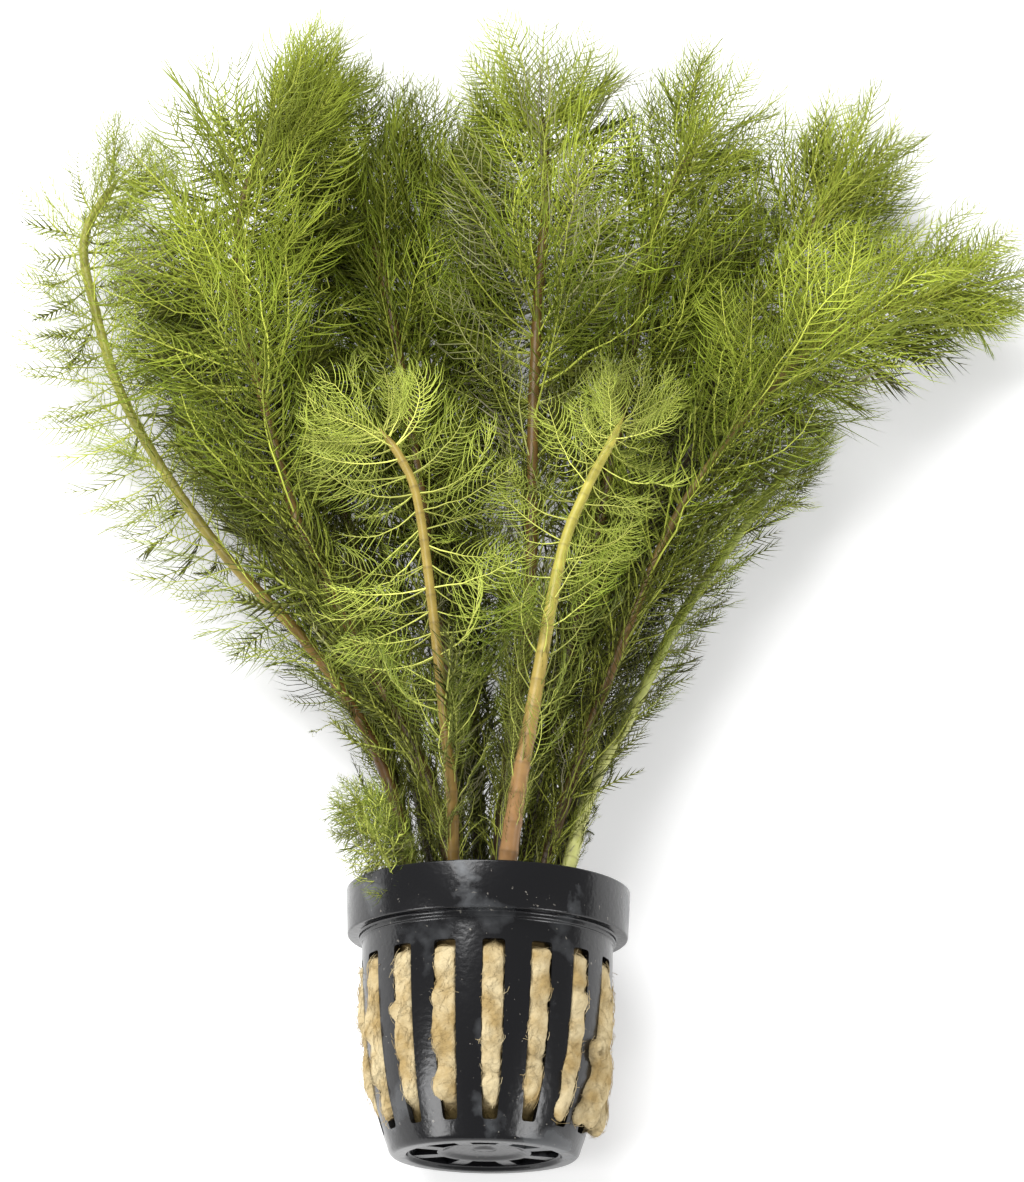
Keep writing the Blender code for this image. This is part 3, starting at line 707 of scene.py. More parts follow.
def openings_tree():
    """Cuts the slots and the foot's openings, each cutter repeated round the pot's axis."""
    graph, given = new_tree("Pot openings", OPENINGS_INPUTS)
    rows = (("Slot cutter", "Slots", given["Slot start"]), ("Wedge cutter", "Wedges", 0.0))
    rings = []
    for cutter, count, start in rows:
        points = graph.out("GeometryNodeMeshLine", {"Count": given[count], "Offset": (0.0, 0.0, 0.0)})
        step = graph.maths("DIVIDE", 2 * math.pi, given[count])
        turn = graph.times_plus(graph.out("GeometryNodeInputIndex"), step, start)
        turned = graph.out("FunctionNodeEulerToRotation", {0: graph.vector(0.0, 0.0, turn)})
        shape = graph.add("GeometryNodeObjectInfo", {"Object": given[cutter]}).outputs["Geometry"]
        rings.append(graph.copies(points, shape, turned))
    cutters = graph.out("GeometryNodeRealizeInstances", {"Geometry": graph.join(*rings)})
    cut = graph.out("GeometryNodeMeshBoolean", {"Mesh 1": given[0], "Mesh 2": cutters},
                    operation="DIFFERENCE", solver="EXACT")
    return end_tree(graph, graph.finish(cut, given["Plastic"]))


def turned_mesh(name, section, steps):
    """A closed body turned from a half section, in metres."""
    shape = bmesh.new()
    points = [shape.verts.new((radius * MM, 0.0, height * MM)) for radius, height in section]
    edges = [shape.edges.new(pair) for pair in zip(points, points[1:])]
    bmesh.ops.spin(shape, geom=[*points, *edges], axis=(0, 0, 1), cent=(0, 0, 0), steps=steps,
                   angle=2 * math.pi)
    bmesh.ops.remove_doubles(shape, verts=shape.verts, dist=0.00002)
    bmesh.ops.recalc_face_normals(shape, faces=shape.faces)
    return body_mesh(name, shape)


# Where the film is thickest, on the rim, where it is partly dried stains and partly painted highlights:
# turn from the front (degrees), half width (degrees), strength
FILM_AND_HIGHLIGHT_PATCHES = ((-18.0, 17.0, 1.0), (31.0, 9.0, 0.8), (-70.0, 20.0, 0.5), (150.0, 40.0, 0.8),
                (85.0, 12.0, 0.5))
# Below the rim the film is faint, and a little stronger near the foot
FAINT_FILM = 0.2
FOOT_FILM = 0.15
# The angle between faces from which an edge of the moulding is sharp
SHARP = math.radians(38)


def film_and_highlight_strength(mesh):
    """Where a dried grey coat lies on the pot: in patches on the rim, which are also painted highlights,
    and faintly below it.
    """
    places = np.array([vertex.co for vertex in mesh.vertices]) / MM
    turns = np.degrees(np.arctan2(places[:, 0], -places[:, 1]))
    rim = ease(places[:, 2], RIM_LOW - 1.0, RIM_LOW + 4.0)
    film = FAINT_FILM + FOOT_FILM * ease(-places[:, 2], -14.0, -4.0)
    # Rim patches: dried stains and painted highlights
    for turn, half, strength in FILM_AND_HIGHLIGHT_PATCHES:
        film = film + strength * rim * np.exp(-((turns - turn) / half) ** 2)
    store_values(mesh, "film", "FLOAT", np.clip(film, 0, 1))


def make_pot(settings, material):
    """The net pot, with its slots and openings, in place of its solid."""
    cutters = [slot_cutter(), wedge_cutter()]
    body = turned_mesh("pot", pot_section(), settings.turn_steps)
    pot = shaped("milfoil_pot", body, openings_tree(),
                 {"Slot cutter": cutters[0], "Wedge cutter": cutters[1], "Plastic": material})
    for cutter in cutters:
        bpy.data.objects.remove(cutter)
    film_and_highlight_strength(pot.data)
    pot.data.set_sharp_from_angle(angle=SHARP)
    pot.data.transform(pot_place())
    return pot


# The rock wool


# How a rib stands out of the wall along its slot: its middle, how uneven it is, and how far its low
# and its high end and its creases sink. On the back the ribs lie flat.
RIB_STEP = 0.9
RIB_PROUD = 0.3
RIB_ROUGH = 0.6
RIB_LOW_SINK = 1.8
RIB_HIGH_SINK = 1.2
RIB_AT_BACK = -0.4
CREASE_DEPTH = 1.0
CREASE_WIDTH = 0.5


def rib_rings(turn, chance):
    """A rib of wool that fills one slot, uneven, creased, and sunk at the slot's ends."""
    rings = []
    phase = chance.uniform(0, 100)
    for height in np.arange(SLOT_LOW + 0.3, SLOT_HIGH - 0.2, RIB_STEP):
        half = slot_half_width(height) - RIB_GAP
        rough = noise.noise(Vector((phase, height * 0.35, 0.0)))
        proud = (RIB_PROUD + RIB_ROUGH * rough - RIB_LOW_SINK * (1 - ease(height, 4.5, 8.5))
                 - RIB_HIGH_SINK * ease(height, 32.5, 34.5))
        for crease_turn, crease in CREASES:
            if abs(math.radians(crease_turn) - turn) < 0.05:
                proud -= CREASE_DEPTH * math.exp(-((height - crease) / CREASE_WIDTH) ** 2)
        if math.cos(turn) < -0.7:
            proud = RIB_AT_BACK
        out = wall_radius(height) + proud
        section = ((CUT_FROM, -half), (out - 0.3, -half), (out, -half * 0.8), (out + 0.1, 0.0),
                   (out, half * 0.8), (out - 0.3, half), (CUT_FROM, half))
        rings.append([pot_radial(turn, reach, across, height) for reach, across in section])
    return rings


def add_lump(shape, turn, across, height, half_width, half_length, proud):
    """An ellipsoid that is rooted in its slot and stands out over the bars."""
    depth = (proud + WALL + 0.8) / 2
    turn = math.radians(turn)
    centre = Vector(pot_radial(turn, wall_radius(height) + proud - depth, across, height)) * MM
    scale = Matrix.Diagonal((half_width * MM, depth * MM, half_length * MM, 1.0))
    place = Matrix.Translation(centre) @ Matrix.Rotation(turn, 4, "Z") @ scale
    bmesh.ops.create_uvsphere(shape, u_segments=20, v_segments=12, radius=1.0, matrix=place)


WOOL_INPUTS = {
    "Coarse relief": ("Float", 0.00042),
    "Fine relief": ("Float", 0.00034),
    "Fibres to the square metre": ("Float", 700000.0),
    "Fibre length": ("Float", 0.0032),
    "Fibre radius": ("Float", 0.00004),
    "Seed": ("Int", 3),
    "Wool": ("Material", None),
}
# Fibres lie on the wool down to this depth
SEEN_DEPTH = 0.75


def wool_tree():
    """Roughens the wool's body and lays fibres on it where it can be seen."""
    graph, given = new_tree("Rock wool", WOOL_INPUTS)
    maths, times = graph.maths, graph.times
    place = graph.out("GeometryNodeInputPosition")
    drawn = graph.out("ShaderNodeVectorMath", {0: place, 1: (1.0, 1.0, 0.45)}, operation="MULTIPLY")
    coarse = maths("SUBTRACT", graph.noise(place, 300.0, 2.0), 0.5)
    fine = maths("SUBTRACT", graph.noise(drawn, 1100.0, 4.0), 0.5)
    push = graph.times_plus(coarse, given["Coarse relief"], times(fine, given["Fine relief"]))
    normal = graph.out("GeometryNodeInputNormal")
    offset = graph.out("ShaderNodeVectorMath", {0: normal, "Scale": times(push, 2.0)}, operation="SCALE")
    body = graph.move(given[0], Offset=offset)

    seen = maths("LESS_THAN", graph.named("depth"), SEEN_DEPTH)
    density = times(seen, given["Fibres to the square metre"])
    scatter = graph.add("GeometryNodeDistributePointsOnFaces",
                        {"Mesh": body, "Density": density, "Seed": given["Seed"]}).outputs
    along = graph.out("GeometryNodeSplineParameter")
    arch = times(maths("SUBTRACT", maths("SINE", times(along, math.pi)), 0.35), 0.13)
    sway = times(maths("SINE", times(along, 5.0)), 0.1)
    line = graph.line(5, Start=(-0.5, 0.0, 0.0), End=(0.5, 0.0, 0.0))
    line = graph.move(line, Offset=graph.vector(0.0, sway, arch))
    fibre = graph.tube(line, 3, maths("DIVIDE", given["Fibre radius"], given["Fibre length"]))
    aim = graph.random((-1.0, -1.0, -1.8), (1.0, 1.0, 1.8), given["Seed"])
    size = graph.random(0.5, 1.3, maths("ADD", given["Seed"], 1.0))
    lying = graph.facing(scatter["Normal"], aim, "Z", "X")
    fibres = graph.copies(scatter["Points"], fibre, lying, Scale=times(size, given["Fibre length"]))
    return end_tree(graph, graph.finish(graph.join(body, fibres), given["Wool"]))


def wool_depths(mesh):
    """How deep each point of the wool lies behind the wall's face, which sets its painted shade, and how
    dark the sunk slot ends get, partly as wet wool and partly as painted shade.
    """
    places = np.array([vertex.co for vertex in mesh.vertices]) / MM
    out = np.hypot(places[:, 0], places[:, 1])
    sunk = wall_radius(places[:, 2]) - out
    store_values(mesh, "depth", "FLOAT", ease(sunk, 0.1, 2.2))
    ends = (1 - ease(places[:, 2], 4.5, 8.0)) + 0.7 * ease(places[:, 2], 31.5, 34.5)
    store_values(mesh, "damp", "FLOAT", np.clip(ends, 0, 1) * ease(sunk, -0.2, 0.8))


def wool_body():
    """The plug, its ribs and its lumps, overlapping, before they are made one."""
    chance = random.Random(4)
    shape = bmesh.new()
    inner = [(height, wall_radius(height) - WALL - 0.4) for height in (WOOL_LOW, SHOULDER, 20.0, WOOL_HIGH)]
    turns = np.linspace(0, 2 * math.pi, 48, endpoint=False)
    add_loft(shape, [[pot_radial(turn, radius, 0.0, height) for turn in turns] for height, radius in inner])
    for index in range(SLOT_COUNT):
        add_loft(shape, rib_rings(SLOT_START + index * 2 * math.pi / SLOT_COUNT, chance))
    for lump in (*LUMPS, *FLAP):
        add_lump(shape, *lump)
    turn, across, height = CURL_PLACE
    for bead in range(CURL_BEADS):
        angle = 2 * math.pi * bead / CURL_BEADS
        add_lump(shape, turn, across + CURL_RADIUS * math.cos(angle),
                 height + 1.3 * CURL_RADIUS * math.sin(angle), 0.5, 0.6, 2.3)
    return body_mesh("wool_body", shape)


def make_wool(settings, material):
    """The rock wool in place of its solid."""
    block = bpy.data.objects.new("wool_block", wool_body())
    remesh = block.modifiers.new("one body", "REMESH")
    remesh.mode = "VOXEL"
    remesh.voxel_size = settings.wool_grain
    mesh = plain_mesh(block)
    wool_depths(mesh)
    wool = shaped("milfoil_rock_wool", mesh, wool_tree(), {"Wool": material})
    wool.data.transform(pot_place())
    return wool


# Leaf shapes

# Radians that the rachis's wave and the pinnae's clumps go through along a leaf
WAVE_TURN = 5.0
CLUMP_TURN = 19.0
CLUMPING = 0.09
# How far the pinnae close towards the leaf's tip (radians), and how far each may turn on its own
TIP_CLOSING = 0.42
PINNA_SWAY = (0.2, 0.1, 0.07)
# How much fuller a pinna is than a cone beyond its foot
MIDDLE_FULLNESS = 1.2

LEAF_INPUTS = {
    "Length": ("Float", 0.022),
    "Bend": ("Float", 0.5),
    "Bend towards the side": ("Float", 0.0),
    "Wave": ("Float", 0.02),
    "Rachis points": ("Int", 9),
    "Rachis radius": ("Float", 0.00026),
    "Bare share": ("Float", 0.12),
    "Pairs": ("Int", 17),
    "Pinna length": ("Float", 0.0085),
    "Pinna angle": ("Float", 1.15),
    "Pinna sweep": ("Float", 0.1),
    "Pinna lift": ("Float", 0.1),
    "Pinna steps": ("Int", 2),
    "Pinna radius": ("Float", 0.00013),
    "Seed": ("Int", 0),
}


def bent_line(graph, geometry, along, given):
    """Set a straight line's points on an arc that leaves +X, with a slight wave in it."""
    maths, times = graph.maths, graph.times
    angle = times(along, given["Bend"])
    radius = maths("DIVIDE", given["Length"], given["Bend"])
    ahead = times(maths("SINE", angle), radius)
    aside = times(maths("SUBTRACT", 1.0, maths("COSINE", angle)), radius)
    phase = graph.random(0.0, 2 * math.pi, given["Seed"])
    wave = times(maths("SINE", graph.times_plus(along, WAVE_TURN, phase)), along)
    wave = times(wave, times(given["Wave"], given["Length"]))
    side = graph.times_plus(aside, maths("SINE", given["Bend towards the side"]), wave)
    rise = graph.times_plus(aside, maths("COSINE", given["Bend towards the side"]), wave)
    return graph.move(geometry, Position=graph.vector(ahead, side, rise))


def pinna(graph, given, hand):
    """One pinna as a thin closed cone bent from its start angle to its sweep, on one side of +X."""
    maths, times = graph.maths, graph.times
    cone = graph.out("GeometryNodeMeshCone",
                     {"Vertices": 3, "Side Segments": given["Pinna steps"], "Radius Top": 0.0,
                      "Radius Bottom": given["Pinna radius"], "Depth": 1.0}, fill_type="NGON")
    level, upright, share = graph.place()
    cone = graph.store(cone, "vein", graph.times_plus(share, -0.45, 0.45))
    start = given["Pinna angle"]
    turn = maths("SUBTRACT", given["Pinna sweep"], start)
    angle = graph.times_plus(share, turn, start)
    arc = maths("DIVIDE", given["Pinna length"], turn)
    ahead = times(maths("SUBTRACT", maths("SINE", angle), maths("SINE", start)), arc)
    aside = times(maths("SUBTRACT", maths("COSINE", start), maths("COSINE", angle)), arc)
    full = graph.times_plus(share, MIDDLE_FULLNESS, 1.0)
    across = times(level, full)
    ahead = maths("SUBTRACT", ahead, times(across, maths("SINE", angle)))
    aside = graph.times_plus(across, maths("COSINE", angle), aside)
    lift = times(times(share, share), times(given["Pinna lift"], given["Pinna length"]))
    rise = graph.times_plus(upright, full, lift)
    bent = graph.move(cone, Position=graph.vector(ahead, times(aside, hand), rise))
    return graph.out("GeometryNodeFlipFaces", {"Mesh": bent}) if hand < 0 else bent


def leaf_tree():
    """A feather leaf along +X: a bent rachis with curved pinnae on both sides."""
    graph, given = new_tree("Feather leaf", LEAF_INPUTS)
    maths, times = graph.maths, graph.times
    along = graph.out("GeometryNodeSplineParameter")
    rachis = bent_line(graph, graph.line(given["Rachis points"]), along, given)
    taper = times(given["Rachis radius"], graph.times_plus(along, -0.7, 1.0))
    parts = [graph.store(graph.tube(rachis, 3, taper), "vein", 1.0)]

    bearing = graph.out("GeometryNodeTrimCurve",
                        {"Curve": rachis, "Start": given["Bare share"], "End": 0.99})
    bearing = graph.out("GeometryNodeResampleCurve", {"Curve": bearing, "Count": given["Pairs"]})
    facing = graph.facing(graph.out("GeometryNodeInputTangent"), (0.0, 0.0, 1.0))
    for index, hand in enumerate((1.0, -1.0)):
        seed = maths("ADD", given["Seed"], index + 1.0)
        clump = times(maths("SINE", graph.times_plus(along, CLUMP_TURN, seed)), CLUMPING)
        closing = times(graph.times_plus(along, -TIP_CLOSING, clump), hand)
        sway = graph.random(tuple(-most for most in PINNA_SWAY), PINNA_SWAY, seed)
        closing = graph.vector(0.0, 0.0, closing)
        sway = graph.out("ShaderNodeVectorMath", {0: sway, 1: closing}, operation="ADD")
        sway = graph.out("FunctionNodeEulerToRotation", {0: sway})
        turned = graph.out("FunctionNodeRotateRotation", {0: facing, 1: sway}, rotation_space="LOCAL")
        vary = graph.random(0.88, 1.1, maths("ADD", seed, 10.0))
        outline = maths("SINE", graph.times_plus(along, 2.05, 0.72))
        parts.append(graph.copies(bearing, pinna(graph, given, hand), turned, Scale=times(outline, vary)))
    return end_tree(graph, graph.finish(graph.join(*parts)))


SHOOT_INPUTS = {
    "Leaf shapes": ("Collection", None),
    "Leaf finish": ("Material", None),
    "Stem finish": ("Material", None),
    "Stem sides": ("Int", 10),
    "Gap to the table": ("Float", 0.0002),
}


def shoot_tree():
    """A shoot: a tube along its stem's points, and a leaf at each of its seats."""
    graph, given = new_tree("Leafy shoot", SHOOT_INPUTS)
    parted = graph.add("GeometryNodeSeparateGeometry",
                       {"Geometry": given[0], "Selection": graph.named("is_stem", "BOOLEAN")}).outputs
    line = graph.out("GeometryNodeMeshToCurve", {"Mesh": parted["Selection"]})
    stem = graph.tube(line, given["Stem sides"], graph.named("girth"))
    shapes = graph.out("GeometryNodeCollectionInfo",
                       {"Collection": given["Leaf shapes"],
                        "Separate Children": True, "Reset Children": True})
    facing = graph.facing(graph.named("way", "FLOAT_VECTOR"), graph.named("face", "FLOAT_VECTOR"))
    picked = {"Pick Instance": True, "Instance Index": graph.named("shape", "INT")}
    leaves = graph.copies(parted["Inverted"], shapes, facing, Scale=graph.named("size"), **picked)
    leaves = graph.finish(leaves, given["Leaf finish"])
    x, y, z = graph.place()
    height = graph.maths("MAXIMUM", z, given["Gap to the table"])
    leaves = graph.move(leaves, Position=graph.vector(x, y, height))
    return end_tree(graph, graph.join(graph.finish(stem, given["Stem finish"]), leaves))


# How the leaf shapes differ: their bend (radians), their kind, and how finely they are drawn, from the
# nearest leaves to the ones in the shade underneath
BENDS = (0.15, 0.45, 0.8, 1.2)
MORE_BEND = {"curly": 1.4, "arched": 0.45, "thread": 0.5}
FULL, SPARSE, THREAD, CURLY, ARCHED = "full", "sparse", "thread", "curly", "arched"
NEAR, FINE, COARSE, SHADE = "near", "fine", "coarse", "shade"


def leaf_plans(settings):
    """The shapes that leaves are picked from: (fineness, kind, flat, bend, inputs of the leaf tree)."""
    plans = []
    looks = {NEAR: {"Rachis points": 8, "Pairs": settings.pairs, "Pinna steps": 3},
             FINE: {"Rachis points": 6, "Pairs": settings.pairs - 1, "Pinna steps": 2},
             COARSE: {"Rachis points": 4, "Pairs": settings.pairs - 5, "Pinna steps": 1,
                      "Pinna radius": settings.pinna_width * 0.64},
             SHADE: {"Rachis points": 4, "Pairs": settings.pairs - 6, "Pinna steps": 1,
                     "Pinna radius": settings.pinna_width * 1.6,
                     "Rachis radius": settings.rachis_width * 0.8}}
    kinds = {FULL: {},
             SPARSE: {"Pinna length": 0.005, "Pairs": 10, "Bare share": 0.28, "Wave": 0.06},
             THREAD: {"Pinna length": 0.003, "Pairs": 5, "Bare share": 0.35, "Wave": 0.05},
             ARCHED: {"Rachis points": 9, "Pinna length": 0.0095, "Bare share": 0.24, "Pinna lift": 0.4,
                      "Wave": 0.05},
             CURLY: {"Rachis points": 7, "Pinna length": 0.009, "Pairs": 6, "Wave": 0.1, "Pinna lift": 0.6,
                     "Pinna radius": settings.pinna_width * 1.1, "Rachis radius": settings.rachis_width}}
    for fineness, look in looks.items():
        for kind, change in kinds.items():
            for flat in (False, True):
                for bend in BENDS:
                    bend += MORE_BEND.get(kind, 0.0)
                    values = {"Bend": bend, "Bend towards the side": math.pi / 2 if flat else 0.0,
                              "Wave": 0.03, "Seed": len(plans), **look, **change}
                    plans.append((fineness, kind, flat, bend, values))
    return plans


def make_leaf_shapes(settings, plans):
    """A collection of leaf shapes for the shoots to pick from."""
    tree = leaf_tree()
    group = bpy.data.collections.new("leaf_shapes")
    for number, plan in enumerate(plans):
        given = {"Length": settings.length, "Pinna length": settings.pinna_length,
                 "Rachis radius": settings.rachis_width / 2, "Pinna radius": settings.pinna_width / 2,
                 "Pinna angle": settings.pinna_angle, **plan[-1]}
        shape = shaped(f"leaf_shape_{number:02d}", bpy.data.meshes.new("none"), tree, given)
        bpy.context.scene.collection.objects.unlink(shape)
        group.objects.link(shape)
    return group


# Shoots


def smooth_route(points, step=2.0):
    """Distances and points about a step apart along a smooth curve through the chosen points."""
    points = [np.array(point, float) for point in points]
    ends = [2 * points[0] - points[1], *points, 2 * points[-1] - points[-2]]
    fine = []
    for a, b, c, d in zip(ends, ends[1:], ends[2:], ends[3:]):
        for t in np.linspace(0, 1, 12, endpoint=False):
            cubic = (3 * b - a - 3 * c + d) * t ** 3
            fine.append(0.5 * (2 * b + (c - a) * t + (2 * a - 5 * b + 4 * c - d) * t ** 2 + cubic))
    fine = np.array([*fine, points[-1]])
    travel = np.concatenate([[0], np.cumsum(np.linalg.norm(np.diff(fine, axis=0), axis=1))])
    along = np.linspace(0, travel[-1], int(travel[-1] / step) + 1)
    return along, np.column_stack([np.interp(along, travel, fine[:, axis]) for axis in range(3)])


class Stem:
    """A stem's centre line, read at any distance from its root."""

    def __init__(self, plan):
        self.plan = plan
        right, up = plan["mouth"]
        root = pot_point(right * ROOT_DRAW_IN, up * ROOT_DRAW_IN, ROOT_DEPTH)
        mouth = pot_point(right, up, MOUTH_HEIGHT)
        self.along, self.path = smooth_route([root, (root + mouth) / 2, mouth, *plan["route"]])
        self.length = self.along[-1]
        self.tangents = np.gradient(self.path, axis=0)

    def read(self, values, travel):
        return np.array([np.interp(travel, self.along, values[:, axis]) for axis in range(3)])

    def centre(self, travel):
        return self.read(self.path, travel)

    def ahead(self, travel):
        return unit(self.read(self.tangents, travel))

    def radius(self, travel):
        low, high = self.plan["stem"]
        return low + (high - low) * min(travel / self.length, 1.0) ** STEM_TAPER

    def across(self, travel, turn, flatten):
        """A direction across the stem: turn 0 is level, a quarter turn is up."""
        ahead = self.ahead(travel)
        level = unit(np.cross(ahead, (0.0, 0.0, 1.0)))
        up = np.cross(level, ahead)
        return unit(math.cos(turn) * level + flatten * math.sin(turn) * up)


# How a leaf stands, in degrees: old ones lie close to the stem, those underneath stand off more, all
# scatter, the old ones more, and the angle waves along the stem (one radian in each WAVE_LENGTH, mm)
CLOSE_ANGLE = 14
UNDER_ANGLE = 16
SCATTER = 8
OLD_SCATTER = 9
WAVING = 7
WAVE_LENGTH = 8
# The crown is the last part of a stem, where the leaves close and stay shorter
CROWN_START = 0.84
CROWN_CLOSING = 0.4
CROWN_SHORTER = 0.22
# Leaves stand in a ring that is flattened, as the bunch lies. Those at the sides mostly lie flat.
RING_FLATNESS = 0.7
AT_SIDE = 0.75
FLAT_AT_SIDE = 0.85
FLAT_ELSEWHERE = 0.25
# A leaf that points further down than this is drawn coarsely
FACING_DOWN = -0.05
# How leaves high above the table droop, and the least height of a leaf over it (mm)
DROOP = 0.12
LEAST_HEIGHT = 0.8
# How far leaves twist and roll (radians), and how their lengths and their youth vary
TWIST = 0.5
ROLL = 0.3
GROWTH = (0.82, 1.14)
YOUTH_SCATTER = 0.12
# How dry a dry leaf is, and how common dry leaves are among the old, where the pale colour is partly real
# drying and partly painted glints
DRYNESS_AND_GLINT = (0.3, 0.9)
OLD_DRY_AND_GLINT = 0.04


def leaf_line(start, way, bend_to, bend, length):
    """Points along a bent leaf."""
    share = np.linspace(0.2, 1.0, 5)[:, None]
    reach = length / bend
    return start + way * np.sin(bend * share) * reach + bend_to * (1 - np.cos(bend * share)) * reach


def seat_leaf(start, way, ahead, bend, length, floor, twist):
    """The way that a leaf points, lifted until the whole leaf lies above the table."""
    for _ in range(40):
        towards = unit(ahead - way * (ahead @ way))
        bend_to = math.cos(twist) * towards + math.sin(twist) * np.cross(way, towards)
        if leaf_line(start, way, bend_to, bend, length)[:, 2].min() > floor:
            break
        way = unit(way + np.array((0.0, 0.0, 0.08)))
    return way, bend_to


def pick_shape(shapes, fineness, kind, flat, chance):
    """The number and the bend of one of the leaf shapes that suit."""
    suited = [number for number, shape in enumerate(shapes) if shape[:3] == (fineness, kind, flat)]
    number = chance.choice(suited)
    return number, shapes[number][3]


def leaf_seat(stem, travel, turn, under, shapes, settings, chance):
    """Where one leaf sits, which way it points and how it looks."""
    plan = stem.plan
    share = (travel - plan["bare"]) / (stem.length - plan["bare"])
    crown = ease(share, CROWN_START, 1.0)
    opened = ease(share, 0.0, plan["old"])
    ahead = stem.ahead(travel)
    off = stem.across(travel, turn, RING_FLATNESS)
    left, right = plan["spread"]
    open_angle = left + (right - left) * (0.5 + 0.5 * math.cos(turn)) + UNDER_ANGLE * under
    sweep = (CLOSE_ANGLE + (open_angle - CLOSE_ANGLE) * opened ** 2) * (1 - CROWN_CLOSING * crown)
    sparse = plan["sparse"] * (1 if math.cos(turn) < 0 else 0.3)
    kind = chance.choices((FULL, SPARSE, THREAD, CURLY, ARCHED),
                          (0.1 + 0.9 * opened, 0.5 * (1 - opened) + sparse, 0.5 * (1 - opened),
                           plan["curly"], plan["arched"] * opened))[0]
    flat = chance.random() < (FLAT_AT_SIDE if abs(off[2]) < AT_SIDE else FLAT_ELSEWHERE)
    coarse = off[2] < FACING_DOWN or chance.random() < plan["hidden"]
    fineness = SHADE if under else COARSE if coarse else NEAR if plan["near"] else FINE
    number, bend = pick_shape(shapes, fineness, kind, flat, chance)

    scatter = chance.gauss(0, SCATTER + OLD_SCATTER * (1 - opened))
    angle = math.radians(sweep + scatter) * (1 - 0.3 * max(off[2], 0.0))
    angle += bend * 0.5 * opened + math.radians(WAVING) * math.sin(travel / WAVE_LENGTH + plan["leaf"])
    way = math.cos(angle) * ahead + math.sin(angle) * off
    droop = -DROOP * ease(stem.centre(travel)[2], 8, 30)
    way = unit(way + np.array((0.0, 0.0, droop)) + crown * np.array(plan["swept"]))
    grown = (0.6 + 0.4 * ease(share, 0.0, 0.35)) * (1 - CROWN_SHORTER * crown) * chance.uniform(*GROWTH)
    length = plan["leaf"] * grown * (1 - 0.2 * under)
    start = stem.centre(travel) + off * stem.radius(travel) * 0.85
    way, bend_to = seat_leaf(start, way, ahead, bend, length, LEAST_HEIGHT, chance.gauss(0, TWIST))
    face = np.cross(way, bend_to) if flat else bend_to
    roll = chance.gauss(0, ROLL)
    face = math.cos(roll) * face + math.sin(roll) * np.cross(face, way)

    # Painted light and shade in the young colour: leaves that face up are paler, leaves in the crown paler
    # as new growth and as a painted highlight, leaves underneath darker as painted shade
    lit = 0.55 + 0.45 * ease(off[2], -0.5, 0.6)
    newer = 0.2 * ease(share, 0.5, 0.85) + 0.25 * crown
    youth = (plan["youth"] * (0.05 + 0.95 * opened ** 2) * lit + newer) * (1 - (0.88 - 0.5 * crown) * under)
    # Pale dry leaves: the dusted ones are real, while those among the old are partly painted glints
    dusted = plan["dusted"] * ease(share, 0.1, 0.4) * (1 - ease(share, 0.8, 0.95))
    return dict(place=start, way=way, face=face, size=length * MM / settings.length, shape=number,
                youth=min(1.0, max(0.0, youth + chance.gauss(0, YOUTH_SCATTER))), tone=chance.random(),
                dry=(chance.random() < dusted + OLD_DRY_AND_GLINT * (1 - youth)) * chance.uniform(*DRYNESS_AND_GLINT))


def leaf_seats(stem, shapes, settings, chance):
    """The seats of a shoot's leaves: open whorls, with a rougher layer underneath."""
    plan = stem.plan
    travel = plan["bare"]
    first, last = plan["clear"]
    seats = []

    def seat(turn, under):
        seats.append(leaf_seat(stem, travel, turn, under, shapes, settings, chance))

    while travel < stem.length:
        share = travel / stem.length
        phase = chance.uniform(0, 2 * math.pi)
        for part in range(settings.leaves_per_whorl):
            turn = phase + 2 * math.pi * part / settings.leaves_per_whorl + chance.gauss(0, 0.16)
            cleared = first < share < last and math.cos(turn - plan["open_side"]) > CLEARED_FACING
            if not (cleared and chance.random() < CLEARED):
                seat(turn, 0)
        for _ in range(plan["under"] + (travel > 0.8 * stem.length)):
            seat(chance.uniform(math.pi, 2 * math.pi), 1)
        for _ in range(plan["over"] * (travel > 0.65 * stem.length)):
            seat(chance.uniform(0.3 * math.pi, 0.7 * math.pi), 0)
        closer = 0.28 * ease(share, 0.4, 0.8) + 0.36 * ease(share, 0.86, 1.0)
        travel += plan["spacing"] * (1 - closer) * chance.uniform(0.85, 1.15)
    for _ in range(plan["threads"]):
        travel = chance.uniform(plan["bare"], min(plan["bare"] + 34, 0.5 * stem.length))
        turn = chance.uniform(-0.2 * math.pi, 1.2 * math.pi)
        seat(turn, chance.choice((0, 1)))
    for _ in range(settings.leaves_at_tip):
        travel = stem.length - chance.uniform(0.2, 2.5)
        seat(chance.uniform(0, 2 * math.pi), 0)
    return seats


def stem_points(stem):
    """The stem's points with their girth, colour and leaf scars."""
    spacing = stem.plan["spacing"]
    foot = stem.plan["foot"]
    low, high = (np.array(stem.plan[end]) for end in ("low", "high"))
    rows = []
    for travel in np.linspace(0, stem.length, int(stem.length / (spacing / STEM_STEPS)) + 1):
        share = travel / stem.length
        node = 0.5 + 0.5 * math.cos(2 * math.pi * travel / spacing)
        swell = 1 + NODE_SWELL * node ** 8
        tint = (low + (high - low) * ease(share, 0.25, 0.75)) * (foot + (1 - foot) * ease(share, 0.2, 0.45))
        tip = 1 - 0.75 * ease(travel, stem.length - 5, stem.length)
        rows.append((stem.centre(travel), stem.radius(travel) * swell * tip, (*tint, 1.0), node ** 50))
    return rows


